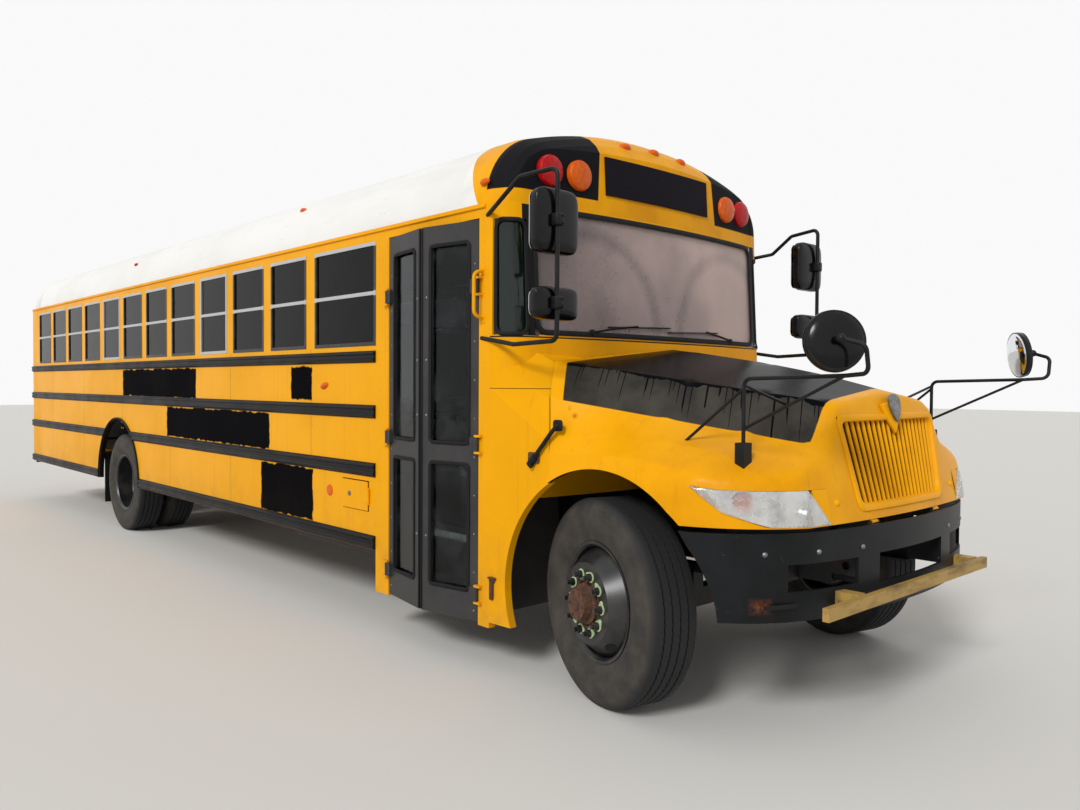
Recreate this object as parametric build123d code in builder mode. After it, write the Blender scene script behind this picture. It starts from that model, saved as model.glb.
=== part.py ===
from build123d import *

import os
from math import atan2, cos, radians, sin, sqrt

# A full-size school bus with a tilting hood, built as separate pieces.
#
# Work frame: millimetres, X forward, Y to the bus's left, Z up, with the ground under the
# middle of the front axle as its zero. save() shifts every piece so that the stored origin
# is on the ground under the middle of the whole length.

# Overall sizes
wheelbase = 7010.0
body_width = 2438.0
rear_overhang = 3607.0
roof_z = 3110.0
gutter_z = 2569.0
floor_z = 1010.0
skirt_z = 509.0
bumper_depth_rear = 90.0

# Sheet and panel thicknesses
wall = 45.0
floor_thickness = 40.0
hood_skin = 30.0
glass_thickness = 8.0

# Roof section: flat-sided shoulders and a shallow crown
shoulder_radius = 430.0

# Side windows: height band, then the long front window and the equal ones behind it
sill_z = 1825.0
window_height = 664.0
window_pitch = 685.0
window_width = 560.0
first_window_width = 796.0
equal_windows = 11
sash_bar = 24.0
sash_depth = 36.0
middle_rail_z = 2162.0

# Front of the body, seen from above
corner_x = -790.0
nose_x_at_cowl = -545.0
front_plan_radius = 6700.0
front_half_face = 1040.0
front_lean = 0.06
cowl_z = 1840.0
front_post_width = 95.0

# Entry door, of two leaves that open outwards and stand a little ajar
door_width = 900.0
door_top_z = 2492.0
door_bottom_z = 262.0
door_thickness = 40.0
door_seam = 16.0
door_ajar = 10.0
door_frame_bar = 70.0
post_bottom_z = 249.0

# Rub rails on the sides: lower and upper edge of each
rail_bands = [(1716.0, 1793.0), (1358.0, 1444.0), (980.0, 1072.0), (512.0, 604.0)]
rail_depth = 22.0

# Wheels
tyre_radius = 512.0
disc_offset = 168.0
disc_thickness = 12.0
stud_circle = 285.75
stud_count = 10
front_tyre_y = 1020.0
rear_outer_tyre_y = 1050.0
arch_radius = 665.0
rear_arch_radius = 650.0

# Steering
kingpin_y = 840.0
kingpin_radius = 22.0
steer_at_rest = -15.0
steering_arm = 170.0
spindle_radius = 36.0
running_gap = 0.05
seat_gap = 0.3
move_gap = 6.0

# Cross-view mirrors on the hood: their arms reach furthest forward of all
mirror_hook_x = 1262.0
mirror_arm_radius = 9.0
nose_reach = mirror_hook_x + mirror_arm_radius

# Chassis
frame_half_width = 432.0
frame_top_z = 900.0
frame_height = 250.0
frame_flange = 85.0
frame_web = 10.0
frame_nose_x = 800.0
spring_top_z = 640.0 - 0.3
spring_leaves = 3
leaf_thickness = 14.0

# Derived places
half_width = body_width / 2
rear_x = -(wheelbase + rear_overhang)
front_shift = (wheelbase + rear_overhang + bumper_depth_rear - nose_reach) / 2
door_front_x = corner_x - front_post_width
door_rear_x = door_front_x - door_width
window_top_z = sill_z + window_height
first_window_x = door_rear_x - 150.0
equal_windows_x = first_window_x - first_window_width - (window_pitch - window_width)
hub_z = tyre_radius


def save(name, *pieces):
    """Writes the finished pieces of one node under its name, shifted to the stored origin."""
    solids = [solid for piece in pieces for solid in piece.part.solids()]
    shape = Compound(solids).moved(Location((front_shift, 0, 0)))
    shape.label = name
    export_step(shape, f"parts/{name}.step")
    print(name, len(shape.solids()), round(sum(s.volume for s in shape.solids()) / 1e6, 2))


def block(x, y, z, mode=Mode.ADD):
    """A box given by its low and high place along each axis."""
    with Locations(((x[0] + x[1]) / 2, (y[0] + y[1]) / 2, (z[0] + z[1]) / 2)):
        Box(abs(x[1] - x[0]), abs(y[1] - y[0]), abs(z[1] - z[0]), mode=mode)


def rod(start, end, radius, mode=Mode.ADD):
    """A round bar between two points."""
    low, high = Vector(*start), Vector(*end)
    with Locations(Plane(origin=low, z_dir=high - low)):
        Cylinder(
            radius,
            (high - low).length,
            align=(Align.CENTER, Align.CENTER, Align.MIN),
            mode=mode,
        )


def bent_tube(points, bend, radius):
    """A round tube along straight runs, joined by arcs of one radius."""
    with BuildPart() as tube:
        with BuildLine() as path:
            FilletPolyline(*points, radius=bend)
        first = Vector(*points[0])
        with BuildSketch(Plane(origin=first, z_dir=Vector(*points[1]) - first)):
            Circle(radius)
        sweep(path=path.line)
    return tube.part


def hinge_pin(at, length, ear, reach, turn=0.0, pin_radius=7.0):
    """Fixed half of a hinge: a pin on the plane's Z axis, held by two ears that reach back along -X."""
    with Locations(at.location * Location((0, 0, 0), (0, 0, turn))):
        Cylinder(pin_radius, length + 2 * ear)
        for end in (-1, 1):
            with Locations((-reach / 2, 0, end * (length + ear) / 2)):
                Box(reach, 2 * pin_radius + 10, ear)


def hinge_barrel(at, length, reach, turn=0.0, pin_radius=7.0):
    """Moving half of a hinge: a sleeve on the same pin, and a web that reaches out along +X."""
    sleeve = length - 2 * hinge_end_gap
    with Locations(at.location * Location((0, 0, 0), (0, 0, turn))):
        Cylinder(pin_radius + 6, sleeve)
        with Locations((reach / 2, 0, 0)):
            Box(reach, 10, sleeve)
        Cylinder(pin_radius + running_gap, sleeve, mode=Mode.SUBTRACT)


hinge_end_gap = 1.0

os.makedirs("parts", exist_ok=True)

# Roof section
section_rise = roof_z - gutter_z
crown_drop = section_rise - shoulder_radius
shoulder_centre_y = half_width - shoulder_radius
crown_centre_drop = (shoulder_centre_y**2 - crown_drop**2) / (2 * crown_drop)
tangent_angle = atan2(shoulder_centre_y, crown_centre_drop)


def roof_profile(inset):
    """The closed roof section at a given inset from the outside, in Y and Z."""
    radius = shoulder_radius - inset
    middle = (radians(90) - tangent_angle) / 2
    side = half_width - inset
    tangent = (
        shoulder_centre_y + radius * sin(tangent_angle),
        gutter_z + radius * cos(tangent_angle),
    )
    bulge = (shoulder_centre_y + radius * cos(middle), gutter_z + radius * sin(middle))
    with BuildSketch() as section:
        with BuildLine():
            ThreePointArc((side, gutter_z), bulge, tangent)
            ThreePointArc(tangent, (0, roof_z - inset), (-tangent[0], tangent[1]))
            ThreePointArc((-tangent[0], tangent[1]), (-bulge[0], bulge[1]), (-side, gutter_z))
            Line((-side, gutter_z), (side, gutter_z))
        make_face()
    return section.sketch_local


def polygon_face(points):
    """A flat face with the given corners, in its own two directions."""
    with BuildSketch() as outline:
        with BuildLine():
            Polyline(*points, close=True)
        make_face()
    return outline.sketch_local


# Body front, seen from above
def front_x(y, z, inset=0.0):
    """Place of the body's front face, which curves in plan and leans back with height."""
    return (
        nose_x_at_cowl
        - front_lean * (z - cowl_z)
        - y**2 / (2 * front_plan_radius)
        - inset
    )


def front_outline(z, inset, back_x):
    """Plan outline of the body's front at a height: a shallow front and two round corners."""
    side = half_width - inset
    face = front_half_face
    face_x = front_x(face, z, inset)
    corner = (
        corner_x + 0.62 * (face_x - corner_x),
        face + 0.72 * (side - face),
    )
    with BuildSketch() as outline:
        with BuildLine():
            ThreePointArc((corner_x, -side), (corner[0], -corner[1]), (face_x, -face))
            ThreePointArc((face_x, -face), (front_x(0, z, inset), 0), (face_x, face))
            ThreePointArc((face_x, face), corner, (corner_x, side))
            Polyline((corner_x, side), (back_x, side), (back_x, -side), (corner_x, -side))
        make_face()
    return outline.sketch_local


def front_block(low_z, high_z, inset, back_x):
    """The filled front of the body between two heights."""
    with BuildPart() as filled:
        with BuildSketch(Plane.XY.offset(low_z)):
            add(front_outline(low_z, inset, back_x))
        with BuildSketch(Plane.XY.offset(high_z)):
            add(front_outline(high_z, inset, back_x))
        loft(ruled=True)
    return filled.part


leaf_hinges = (420.0, 1250.0, 2120.0)


def leaf_hinge(front):
    """Plane of a leaf's hinge axis, at the door opening's edge; X points along the closed leaf."""
    x = door_front_x - 3 if front else door_rear_x + 3
    way = -1 if front else 1
    return Plane(origin=(x, -(half_width + 14), 0), x_dir=(way, 0, 0), z_dir=(0, 0, 1))


# Side walls
def side_windows():
    """Low and high X of every side window, front to rear."""
    spans = [(first_window_x - first_window_width, first_window_x)]
    for step in range(equal_windows):
        high = equal_windows_x - step * window_pitch
        spans.append((high - window_width, high))
    return spans


driver_window = (door_rear_x + 90.0, door_front_x + 10.0)
rear_arch_x = -wheelbase - 30.0
rear_arch_z = hub_z + 28.0
fuel_door_x = (-2345.0, -2015.0)
fuel_door_z = (750.0, 950.0)
fuel_hinge = Plane(
    origin=(fuel_door_x[1] + 4, -(half_width + 10), sum(fuel_door_z) / 2), x_dir=(-1, 0, 0), z_dir=(0, 0, 1)
)


def wall_outline(side):
    """One side wall with its openings, as a plate in X and Z."""
    outer, inner = side * half_width, side * (half_width - wall)
    band = (min(outer, inner), max(outer, inner))
    past = (band[0] - 50, band[1] + 50)
    block((rear_x + wall, corner_x), band, (post_bottom_z, gutter_z))
    block((rear_x, door_rear_x - 150), past, (0, skirt_z), Mode.SUBTRACT)
    for low, high in side_windows():
        block((low, high), past, (sill_z, window_top_z), Mode.SUBTRACT)
    with Locations(Location((rear_arch_x, side * half_width, rear_arch_z), (90, 0, 0))):
        Cylinder(rear_arch_radius, 4 * wall, mode=Mode.SUBTRACT)
    block(
        (rear_arch_x - rear_arch_radius, rear_arch_x + rear_arch_radius),
        past,
        (0, rear_arch_z),
        Mode.SUBTRACT,
    )


with BuildPart() as right_wall:
    wall_outline(-1)
    door_band = (-half_width - 50, -half_width + wall + 50)
    block((door_rear_x, door_front_x), door_band, (0, door_top_z), Mode.SUBTRACT)
    block(fuel_door_x, door_band, fuel_door_z, Mode.SUBTRACT)
    for front in (True, False):
        way = 1 if front else -1
        for z in leaf_hinges:
            with Locations(leaf_hinge(front).offset(z).location):
                Cylinder(7, 80 + 24)
            for end in (-1, 1):
                x = leaf_hinge(front).origin.X
                block(
                    (x - way * 9, x + way * 40),
                    (-(half_width + 24), -(half_width - 20)),
                    (z + end * 46 - 6, z + end * 46 + 6),
                )
    block((door_rear_x, door_front_x), (-half_width, 0), (0, door_top_z), Mode.SUBTRACT)
    hinge_pin(fuel_hinge, 90, 10, 24, 90, 4.0)

with BuildPart() as left_wall:
    wall_outline(1)
    window_band = (half_width - wall - 50, half_width + 50)
    block(driver_window, window_band, (sill_z, window_top_z), Mode.SUBTRACT)
    block((door_rear_x - 150, door_front_x), window_band, (0, skirt_z), Mode.SUBTRACT)
save("side_walls", right_wall, left_wall)

# Roof, with a raised frame around each hatch
roof_front_x = -1060.0
rear_cap_x = rear_x + 420.0
hatch_size = 600.0
hatch_rim = 40.0
hatch_top_z = roof_z + 30.0
hatch_places = [("roof_hatch_front", -3600.0), ("roof_hatch_rear", -8700.0)]


def hatch_hinge(x):
    """Plane of a hatch hinge: its axis lies across the bus at the hatch's front edge."""
    edge = x + hatch_size / 2 + hatch_rim + 18
    return Plane(origin=(edge, 0, hatch_top_z + 8), x_dir=(-1, 0, 0), z_dir=(0, 1, 0))


with BuildPart() as roof:
    with BuildSketch(Plane.YZ.offset(rear_cap_x)):
        add(roof_profile(0))
    extrude(amount=roof_front_x - rear_cap_x)
    for _, x in hatch_places:
        outer = hatch_size / 2 + hatch_rim
        block((x - outer, x + outer), (-outer, outer), (roof_z - 120, hatch_top_z))
        hinge_pin(hatch_hinge(x), hatch_size / 2, 20, 60, 90)
    with BuildSketch(Plane.YZ.offset(rear_cap_x)):
        add(roof_profile(wall))
    extrude(amount=roof_front_x - rear_cap_x, mode=Mode.SUBTRACT)
    for _, x in hatch_places:
        reach = hatch_size / 2
        block((x - reach, x + reach), (-reach, reach), (roof_z - 200, hatch_top_z + 1), Mode.SUBTRACT)
save("roof", roof)

for name, x in hatch_places:
    with BuildPart() as hatch:
        reach = hatch_size / 2 + hatch_rim
        lid_z = hatch_top_z + move_gap
        block((x - reach, x + reach), (-reach, reach), (lid_z, lid_z + 26))
        block((x - reach, x + reach), (-reach, reach), (lid_z + 10, lid_z + 26))
        fillet(hatch.edges().filter_by(Axis.Z), 60)
        hinge_barrel(hatch_hinge(x), hatch_size / 2, 24)
    save(name, hatch)

# Rounded rear end of the roof
cap_round = 180.0


def rear_cap_block(inset):
    """The filled rear end of the roof, with its upper rear edge rounded."""
    with BuildPart() as filled:
        with BuildSketch(Plane.YZ.offset(rear_x + inset)):
            add(roof_profile(inset))
        extrude(amount=rear_cap_x - rear_x - inset)
        rim = filled.faces().sort_by(Axis.X)[0].edges().filter_by(GeomType.CIRCLE)
        fillet(rim, cap_round - inset)
    return filled.part


with BuildPart() as rear_cap:
    add(rear_cap_block(0))
    add(rear_cap_block(wall), mode=Mode.SUBTRACT)


# Front cap above the windshield: the roof section, drawn in towards the front
cap_stations = [
    (roof_front_x, 0.0),
    (-900.0, 0.0),
    (-800.0, 12.0),
    (-725.0, 45.0),
    (-665.0, 95.0),
    (-600.0, 185.0),
    (-530.0, 340.0),
]


def front_cap_block(inset):
    """The filled front cap: stations of the roof section cut by the body's front face."""
    with BuildPart() as filled:
        for x, drawn in cap_stations:
            with BuildSketch(Plane.YZ.offset(x)):
                add(roof_profile(drawn + inset))
        loft(ruled=True)
        add(front_block(gutter_z - 20, roof_z + 60, inset, roof_front_x), mode=Mode.INTERSECT)
    return filled.part


with BuildPart() as front_cap:
    add(front_cap_block(0))
    add(front_cap_block(wall), mode=Mode.SUBTRACT)
save("roof_end_caps", rear_cap, front_cap)

# Cowl: the body's front wall with its pillars, and the wings that the hood closes against
windshield_half = 1035.0
windshield_z = (1852.0, 2560.0)
quarter_glass_y = 1068.0
quarter_glass_z = (1850.0, 2476.0)
hood_split = [
    (-352.0, 600.0),
    (-349.0, 1285.0),
    (-393.0, 1513.0),
    (-520.0, 1714.0),
    (-533.0, 1842.0),
]
wing_section_rear = [
    (1219.0, 281.0),
    (1219.0, 1560.0),
    (1195.0, 1720.0),
    (1080.0, 1842.0),
]
wing_section_front = [
    (1190.0, 281.0),
    (1190.0, 1285.0),
    (1144.0, 1485.0),
    (937.0, 1613.0),
]


def mirrored(points):
    """Corner list of a section that is the same on both sides of the middle plane."""
    return points + [(-y, z) for y, z in reversed(points)]


def inside_wing(points):
    """The inside of a wing section, one wall thickness in, and open at its foot."""
    foot = points[0][1]
    return [(y - wall, z - (wall if z > foot else 1)) for y, z in points]


def split_region(shift):
    """Corners, in X and Z, of the region ahead of the hood's rear edge."""
    line = [(x + shift, z) for x, z in hood_split]
    return [(1500, 0), (line[0][0], 0)] + line + [(line[-1][0], 2200), (1500, 2200)]


with BuildPart() as cowl:
    with BuildSketch(Plane.YZ.offset(corner_x)):
        add(polygon_face(mirrored(wing_section_rear)))
    with BuildSketch(Plane.YZ.offset(-340)):
        add(polygon_face(mirrored(wing_section_front)))
    loft(ruled=True)
    with BuildSketch(Plane.YZ.offset(corner_x)):
        add(polygon_face(mirrored(inside_wing(wing_section_rear))))
    with BuildSketch(Plane.YZ.offset(-339)):
        add(polygon_face(mirrored(inside_wing(wing_section_front))))
    loft(ruled=True, mode=Mode.SUBTRACT)
    with BuildSketch(Plane.XZ):
        add(polygon_face(split_region(0)))
    extrude(amount=1500, both=True, mode=Mode.SUBTRACT)
    add(front_block(floor_z - 40, gutter_z, 0, corner_x - 30))
    add(front_block(floor_z - 41, gutter_z + 1, wall, corner_x - 60), mode=Mode.SUBTRACT)
    block((-2000, corner_x), (-1400, 1400), (0, 3000), Mode.SUBTRACT)
    block((-1000, -300), (-windshield_half, windshield_half), windshield_z, Mode.SUBTRACT)
    for side in (-1, 1):
        block(
            (corner_x + 14, -300),
            (side * quarter_glass_y, side * 1400),
            quarter_glass_z,
            Mode.SUBTRACT,
        )
        with Locations(Location((0, side * half_width, hub_z), (90, 0, 0))):
            Cylinder(arch_radius, 4 * wall + 60, mode=Mode.SUBTRACT)
save("cowl", cowl)

# Windshield and the glass round the corners beside it
with BuildPart() as windshield:
    add(front_block(windshield_z[0], windshield_z[1], 12, corner_x - 30))
    add(front_block(windshield_z[0] - 5, windshield_z[1] + 5, 20, corner_x - 60), mode=Mode.SUBTRACT)
    wide = windshield_half - seat_gap
    block(
        (-1000, -300),
        (-wide, wide),
        (windshield_z[0] + seat_gap, windshield_z[1] - seat_gap),
        Mode.INTERSECT,
    )

with BuildPart() as quarter_glass:
    add(front_block(quarter_glass_z[0], quarter_glass_z[1], 12, corner_x - 30))
    add(front_block(quarter_glass_z[0] - 5, quarter_glass_z[1] + 5, 20, corner_x - 60), mode=Mode.SUBTRACT)
    low, high = quarter_glass_z[0] + seat_gap, quarter_glass_z[1] - seat_gap
    block((corner_x + 14.3, -300), (-1400, 1400), (low, high), Mode.INTERSECT)
    inner = quarter_glass_y + seat_gap
    block((-1000, -300), (-inner, inner), (low - 50, high + 50), Mode.SUBTRACT)
save("windshield", windshield, quarter_glass)

# Floor, with the step well open beside the door
step_run = [(360.0, 900.0), (685.0, 640.0)]
well_y = -640.0
wheel_house_y = 530.0
floor_side = half_width - wall - seat_gap
with BuildPart() as floor:
    add(front_block(floor_z - floor_thickness, floor_z, wall + seat_gap, rear_x + wall + seat_gap))
    block((door_rear_x, 0), (-1300, well_y), (0, 2000), Mode.SUBTRACT)
    for side in (-1, 1):
        middle = side * (wheel_house_y + floor_side) / 2
        across = floor_side - wheel_house_y
        with Locations(Location((rear_arch_x, middle, rear_arch_z), (90, 0, 0))):
            Cylinder(rear_arch_radius + 20, across)
            Cylinder(rear_arch_radius, across + 1, mode=Mode.SUBTRACT)
        with Locations(Location((rear_arch_x, side * (wheel_house_y + 10), rear_arch_z), (90, 0, 0))):
            Cylinder(rear_arch_radius + 10, 20)
    block((-20000, 2000), (-2000, 2000), (-300, floor_z - floor_thickness), Mode.SUBTRACT)

with BuildPart() as steps:
    low_x, high_x = door_rear_x + 5, door_front_x + 40
    outer_y = -(half_width - wall - 6)
    block((low_x, high_x), (outer_y, well_y - seat_gap), (300, floor_z))
    inner_x = (low_x + 20, high_x - 20)
    block(inner_x, (outer_y - 1, -step_run[0][1]), (step_run[0][0], floor_z + 1), Mode.SUBTRACT)
    upper_y = -step_run[1][1] - 22
    block(inner_x, (-step_run[0][1] - 1, upper_y), (step_run[1][0], floor_z + 1), Mode.SUBTRACT)
    block(inner_x, (-step_run[0][1] + 20, upper_y), (0, step_run[1][0] - 20), Mode.SUBTRACT)
    block(inner_x, (outer_y + 20, -step_run[0][1]), (0, step_run[0][0] - 20), Mode.SUBTRACT)
save("floor_and_steps", floor, steps)

# Rear wall and its emergency door
rear_door_half = 380.0
rear_door_z = (985.0, 2455.0)
rear_window_z = (1700.0, 2330.0)
rear_side_window_y = (560.0, 1010.0)
rear_side_window_z = (1825.0, 2400.0)
plate_y = 700.0
plate_z = 1560.0
plate_holes = (177.8, 120.65)
plate_hole_radius = 3.5
rear_hinge = Plane(
    origin=(rear_x - 22, -rear_door_half - 22, 1720), x_dir=(0, 1, 0), z_dir=(0, 0, 1)
)
hinge_heights = (-560.0, 0.0, 560.0)

with BuildPart() as rear_wall:
    block((rear_x, rear_x + wall), (-half_width, half_width), (skirt_z, gutter_z))
    block((rear_x - 9, rear_x + 99), (-rear_door_half, rear_door_half), rear_door_z, Mode.SUBTRACT)
    for side in (-1, 1):
        span = (side * rear_side_window_y[0], side * rear_side_window_y[1])
        block((rear_x - 9, rear_x + 99), span, rear_side_window_z, Mode.SUBTRACT)
    for z in hinge_heights:
        at = rear_hinge.offset(z)
        hinge_pin(at, 90, 12, 40, 90)
    with Locations(Location((rear_x, plate_y, plate_z), (0, 90, 0))):
        with GridLocations(plate_holes[1], plate_holes[0], 2, 2):
            Cylinder(plate_hole_radius, 3 * wall, mode=Mode.SUBTRACT)
save("rear_wall", rear_wall)

with BuildPart() as rear_door:
    half = rear_door_half - move_gap
    low, high = rear_door_z[0] + move_gap, rear_door_z[1] - move_gap
    block((rear_x + 2, rear_x + wall - move_gap), (-half, half), (low, high))
    block((rear_x - 9, rear_x + 99), (-half + 90, half - 90), rear_window_z, Mode.SUBTRACT)
    block((rear_x - 9, rear_x + 99), (-half + 90, half - 90), (1120, 1540), Mode.SUBTRACT)
    for z in hinge_heights:
        hinge_barrel(rear_hinge.offset(z), 90, 60)
        block(
            (rear_x - 28, rear_x + 3),
            (-rear_door_half + 8, -rear_door_half + 60),
            (1720 + z - 40, 1720 + z + 40),
        )
save("rear_emergency_door", rear_door)

with BuildPart() as rear_glass:
    half = rear_door_half - move_gap
    for low, high in (rear_window_z, (1120, 1540)):
        block((rear_x + 16, rear_x + 24), (-half + 90.3, half - 90.3), (low + 0.3, high - 0.3))
save("rear_door_glass", rear_glass)

# Side window frames: an outer frame and a middle rail in each opening, and the glass
def window_frames(side):
    """Window frames of one side, each seated in its opening."""
    outer = side * (half_width + 3)
    inner = side * (half_width + 3 - sash_depth)
    spans = side_windows() + ([driver_window] if side > 0 else [])
    for low, high in spans:
        low, high = low + seat_gap, high - seat_gap
        bottom, top = sill_z + seat_gap, window_top_z - seat_gap
        block((low, high), (outer, inner), (bottom, top))
        block(
            (low + sash_bar, high - sash_bar),
            (side * 1400, side * 1100),
            (bottom + sash_bar, middle_rail_z - 12),
            Mode.SUBTRACT,
        )
        block(
            (low + sash_bar, high - sash_bar),
            (side * 1400, side * 1100),
            (middle_rail_z + 12, top - sash_bar),
            Mode.SUBTRACT,
        )


def window_panes(side):
    """Panes of one side, an upper and a lower one in each frame."""
    near = side * (half_width - 8)
    far = side * (half_width - 8 - glass_thickness / 2)
    spans = side_windows() + ([driver_window] if side > 0 else [])
    edge = sash_bar + 2 * seat_gap
    for low, high in spans:
        block(
            (low + edge, high - edge), (near, far), (sill_z + edge, middle_rail_z - 12 - seat_gap)
        )
        block(
            (low + edge, high - edge),
            (near, far),
            (middle_rail_z + 12 + seat_gap, window_top_z - edge),
        )


with BuildPart() as frames_right:
    window_frames(-1)
with BuildPart() as frames_left:
    window_frames(1)
save("window_frames", frames_right, frames_left)
with BuildPart() as rear_panes:
    for side in (-1, 1):
        y = (side * (rear_side_window_y[0] + seat_gap), side * (rear_side_window_y[1] - seat_gap))
        z = (rear_side_window_z[0] + seat_gap, rear_side_window_z[1] - seat_gap)
        block((rear_x + 14, rear_x + 22), y, z)
with BuildPart() as panes_right:
    window_panes(-1)
with BuildPart() as panes_left:
    window_panes(1)
save("window_glass", panes_right, panes_left, rear_panes)

# Rub rails along both sides
rail_sides = []
for side in (-1, 1):
    with BuildPart() as rails:
        near = side * (half_width + seat_gap)
        far = side * (half_width + rail_depth)
        front = door_rear_x - 150 if side < 0 else door_front_x
        for low, high in rail_bands:
            block((rear_x, front), (near, far), (low, high))
        with Locations(Location((rear_arch_x, side * half_width, rear_arch_z), (90, 0, 0))):
            Cylinder(rear_arch_radius + 12, 200, mode=Mode.SUBTRACT)
        block(
            (rear_arch_x - rear_arch_radius - 12, rear_arch_x + rear_arch_radius + 12),
            (side * 1100, side * 1300),
            (0, rear_arch_z),
            Mode.SUBTRACT,
        )
        if side < 0:
            block(
                (fuel_door_x[0] - 20, fuel_door_x[1] + 20), (-1300, -1100), (730, 975), Mode.SUBTRACT
            )
    rail_sides.append(rails)
save("rub_rails", *rail_sides)


# Entry door: two leaves, each hinged at its outer edge and turned a little outwards
leaf_width = (door_width - 2 * move_gap - door_seam) / 2
leaf_z = (door_bottom_z, door_top_z - move_gap)
leaf_windows = ((430.0, 1130.0), (1250.0, 2370.0))
leaf_y = -(half_width - 4)


def leaf_turn(front, piece):
    """Turns a leaf piece about its hinge axis to where it stands."""
    axis_at = leaf_hinge(front).origin
    swing = Axis((axis_at.X, axis_at.Y, 0), (0, 0, 1))
    return piece.rotate(swing, door_ajar if front else -door_ajar)


def door_leaf(front):
    """One closed leaf: a frame around two window openings, with its hinge sleeves."""
    way = -1 if front else 1
    edge = door_front_x - move_gap if front else door_rear_x + move_gap
    with BuildPart() as leaf:
        block((edge, edge + way * leaf_width), (leaf_y, leaf_y + door_thickness), leaf_z)
        for low, high in leaf_windows:
            block(
                (edge + way * door_frame_bar, edge + way * (leaf_width - door_frame_bar)),
                (leaf_y - 10, leaf_y + 90),
                (low, high),
                Mode.SUBTRACT,
            )
        for z in leaf_hinges:
            hinge_barrel(leaf_hinge(front).offset(z), 80, 46)
            block(
                (edge + way * 14, edge + way * 44),
                (-(half_width + 16), leaf_y + 2),
                (z - 36, z + 36),
            )
    return leaf_turn(front, leaf.part)


def leaf_panes(front):
    """The two panes of one leaf."""
    way = -1 if front else 1
    edge = door_front_x - move_gap if front else door_rear_x + move_gap
    bar = door_frame_bar + seat_gap
    with BuildPart() as panes:
        for low, high in leaf_windows:
            block(
                (edge + way * bar, edge + way * (leaf_width - bar)),
                (leaf_y + 16, leaf_y + 16 + glass_thickness),
                (low + seat_gap, high - seat_gap),
            )
    return leaf_turn(front, panes.part)


for front, name in ((True, "front"), (False, "rear")):
    with BuildPart() as leaf:
        add(door_leaf(front))
    save(f"entry_door_{name}_leaf", leaf)
    with BuildPart() as leaf_glass:
        add(leaf_panes(front))
    save(f"entry_door_{name}_glass", leaf_glass)

# Hood with its fenders: sections across the bus from the windshield to the grille
hood_stations = [
    (-620.0, [(1216, 1200), (1214, 1350), (1210, 1456), (1179, 1629), (1032, 1727), (0, 1812)]),
    (-380.0, [(1205, 1120), (1196, 1230), (1190, 1309), (1144, 1511), (939, 1690), (0, 1786)]),
    (170.0, [(1215, 1150), (1190, 1250), (1060, 1330), (895, 1416), (726, 1605), (0, 1706)]),
    (520.0, [(1205, 1100), (1150, 1200), (1000, 1290), (736, 1356), (590, 1552), (0, 1640)]),
    (800.0, [(1205, 1060), (1080, 1135), (890, 1205), (609, 1308), (482, 1509), (0, 1570)]),
    (1010.0, [(1205, 960), (1030, 1050), (820, 1120), (514, 1272), (400, 1477), (0, 1516)]),
]
hood_bottom_z = 966.0
hood_front = (960.0, 0.207)
headlamp_corner = (900.0, 819.0)
fender_side_y = 1207.0
fender_side_x = 430.0


def hood_outline(z, inset):
    """Plan outline of the hood at a height: straight sides, round corners and a shallow front."""
    lean = hood_front[1] * (z - 1000)
    corner = (headlamp_corner[0] - lean - inset, headlamp_corner[1] - inset * 0.6)
    side = fender_side_y - inset
    bulge = (735 - lean * 0.8 - inset * 0.7, 1052 - inset * 0.75)
    nose = hood_front[0] - lean - inset
    with BuildSketch() as outline:
        with BuildLine():
            ThreePointArc((fender_side_x, -side), (bulge[0], -bulge[1]), (corner[0], -corner[1]))
            ThreePointArc((corner[0], -corner[1]), (nose, 0), corner)
            ThreePointArc(corner, bulge, (fender_side_x, side))
            Polyline((fender_side_x, side), (-800, side), (-800, -side), (fender_side_x, -side))
        make_face()
    return outline.sketch_local


def hood_plan(inset):
    """The space inside the hood's plan outline at a given inset."""
    with BuildPart() as filled:
        for z in (hood_bottom_z - 300, 2000.0):
            with BuildSketch(Plane.XY.offset(z)):
                add(hood_outline(z, inset))
        loft(ruled=True)
    return filled.part


def hood_block(inset):
    """The filled hood at a given inset."""
    with BuildPart() as filled:
        for x, points in hood_stations:
            ring = [(max(y - inset, 0.0), z - inset) for y, z in points]
            low = (fender_side_y + 60 - inset, hood_bottom_z - 400)
            other = [(-y, z) for y, z in reversed(ring[:-1])]
            with BuildSketch(Plane.YZ.offset(x)):
                add(polygon_face([low] + ring + other + [(-low[0], low[1])]))
        loft(ruled=True)
        add(hood_plan(inset), mode=Mode.INTERSECT)
    return filled.part


grille_low = (432.0, 1012.0)
grille_high = (500.0, 1440.0)
grille_opening = [
    (-grille_low[0], grille_low[1]),
    (-grille_high[0], grille_high[1]),
    (grille_high[0], grille_high[1]),
    (grille_low[0], grille_low[1]),
]
hood_pivot_x = 948.0
hood_pivot_z = 950.0
hood_pivot = Plane(origin=(hood_pivot_x, 0, hood_pivot_z), x_dir=(0, 0, 1), z_dir=(0, 1, 0))
hood_pivot_y = 330.0
lamp_region = [
    (530.0, 1144.0),
    (640.0, 1130.0),
    (1000.0, 1124.0),
    (1000.0, 968.0),
    (800.0, 972.0),
    (650.0, 1034.0),
]
lamp_inner_y = 668.0

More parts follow.
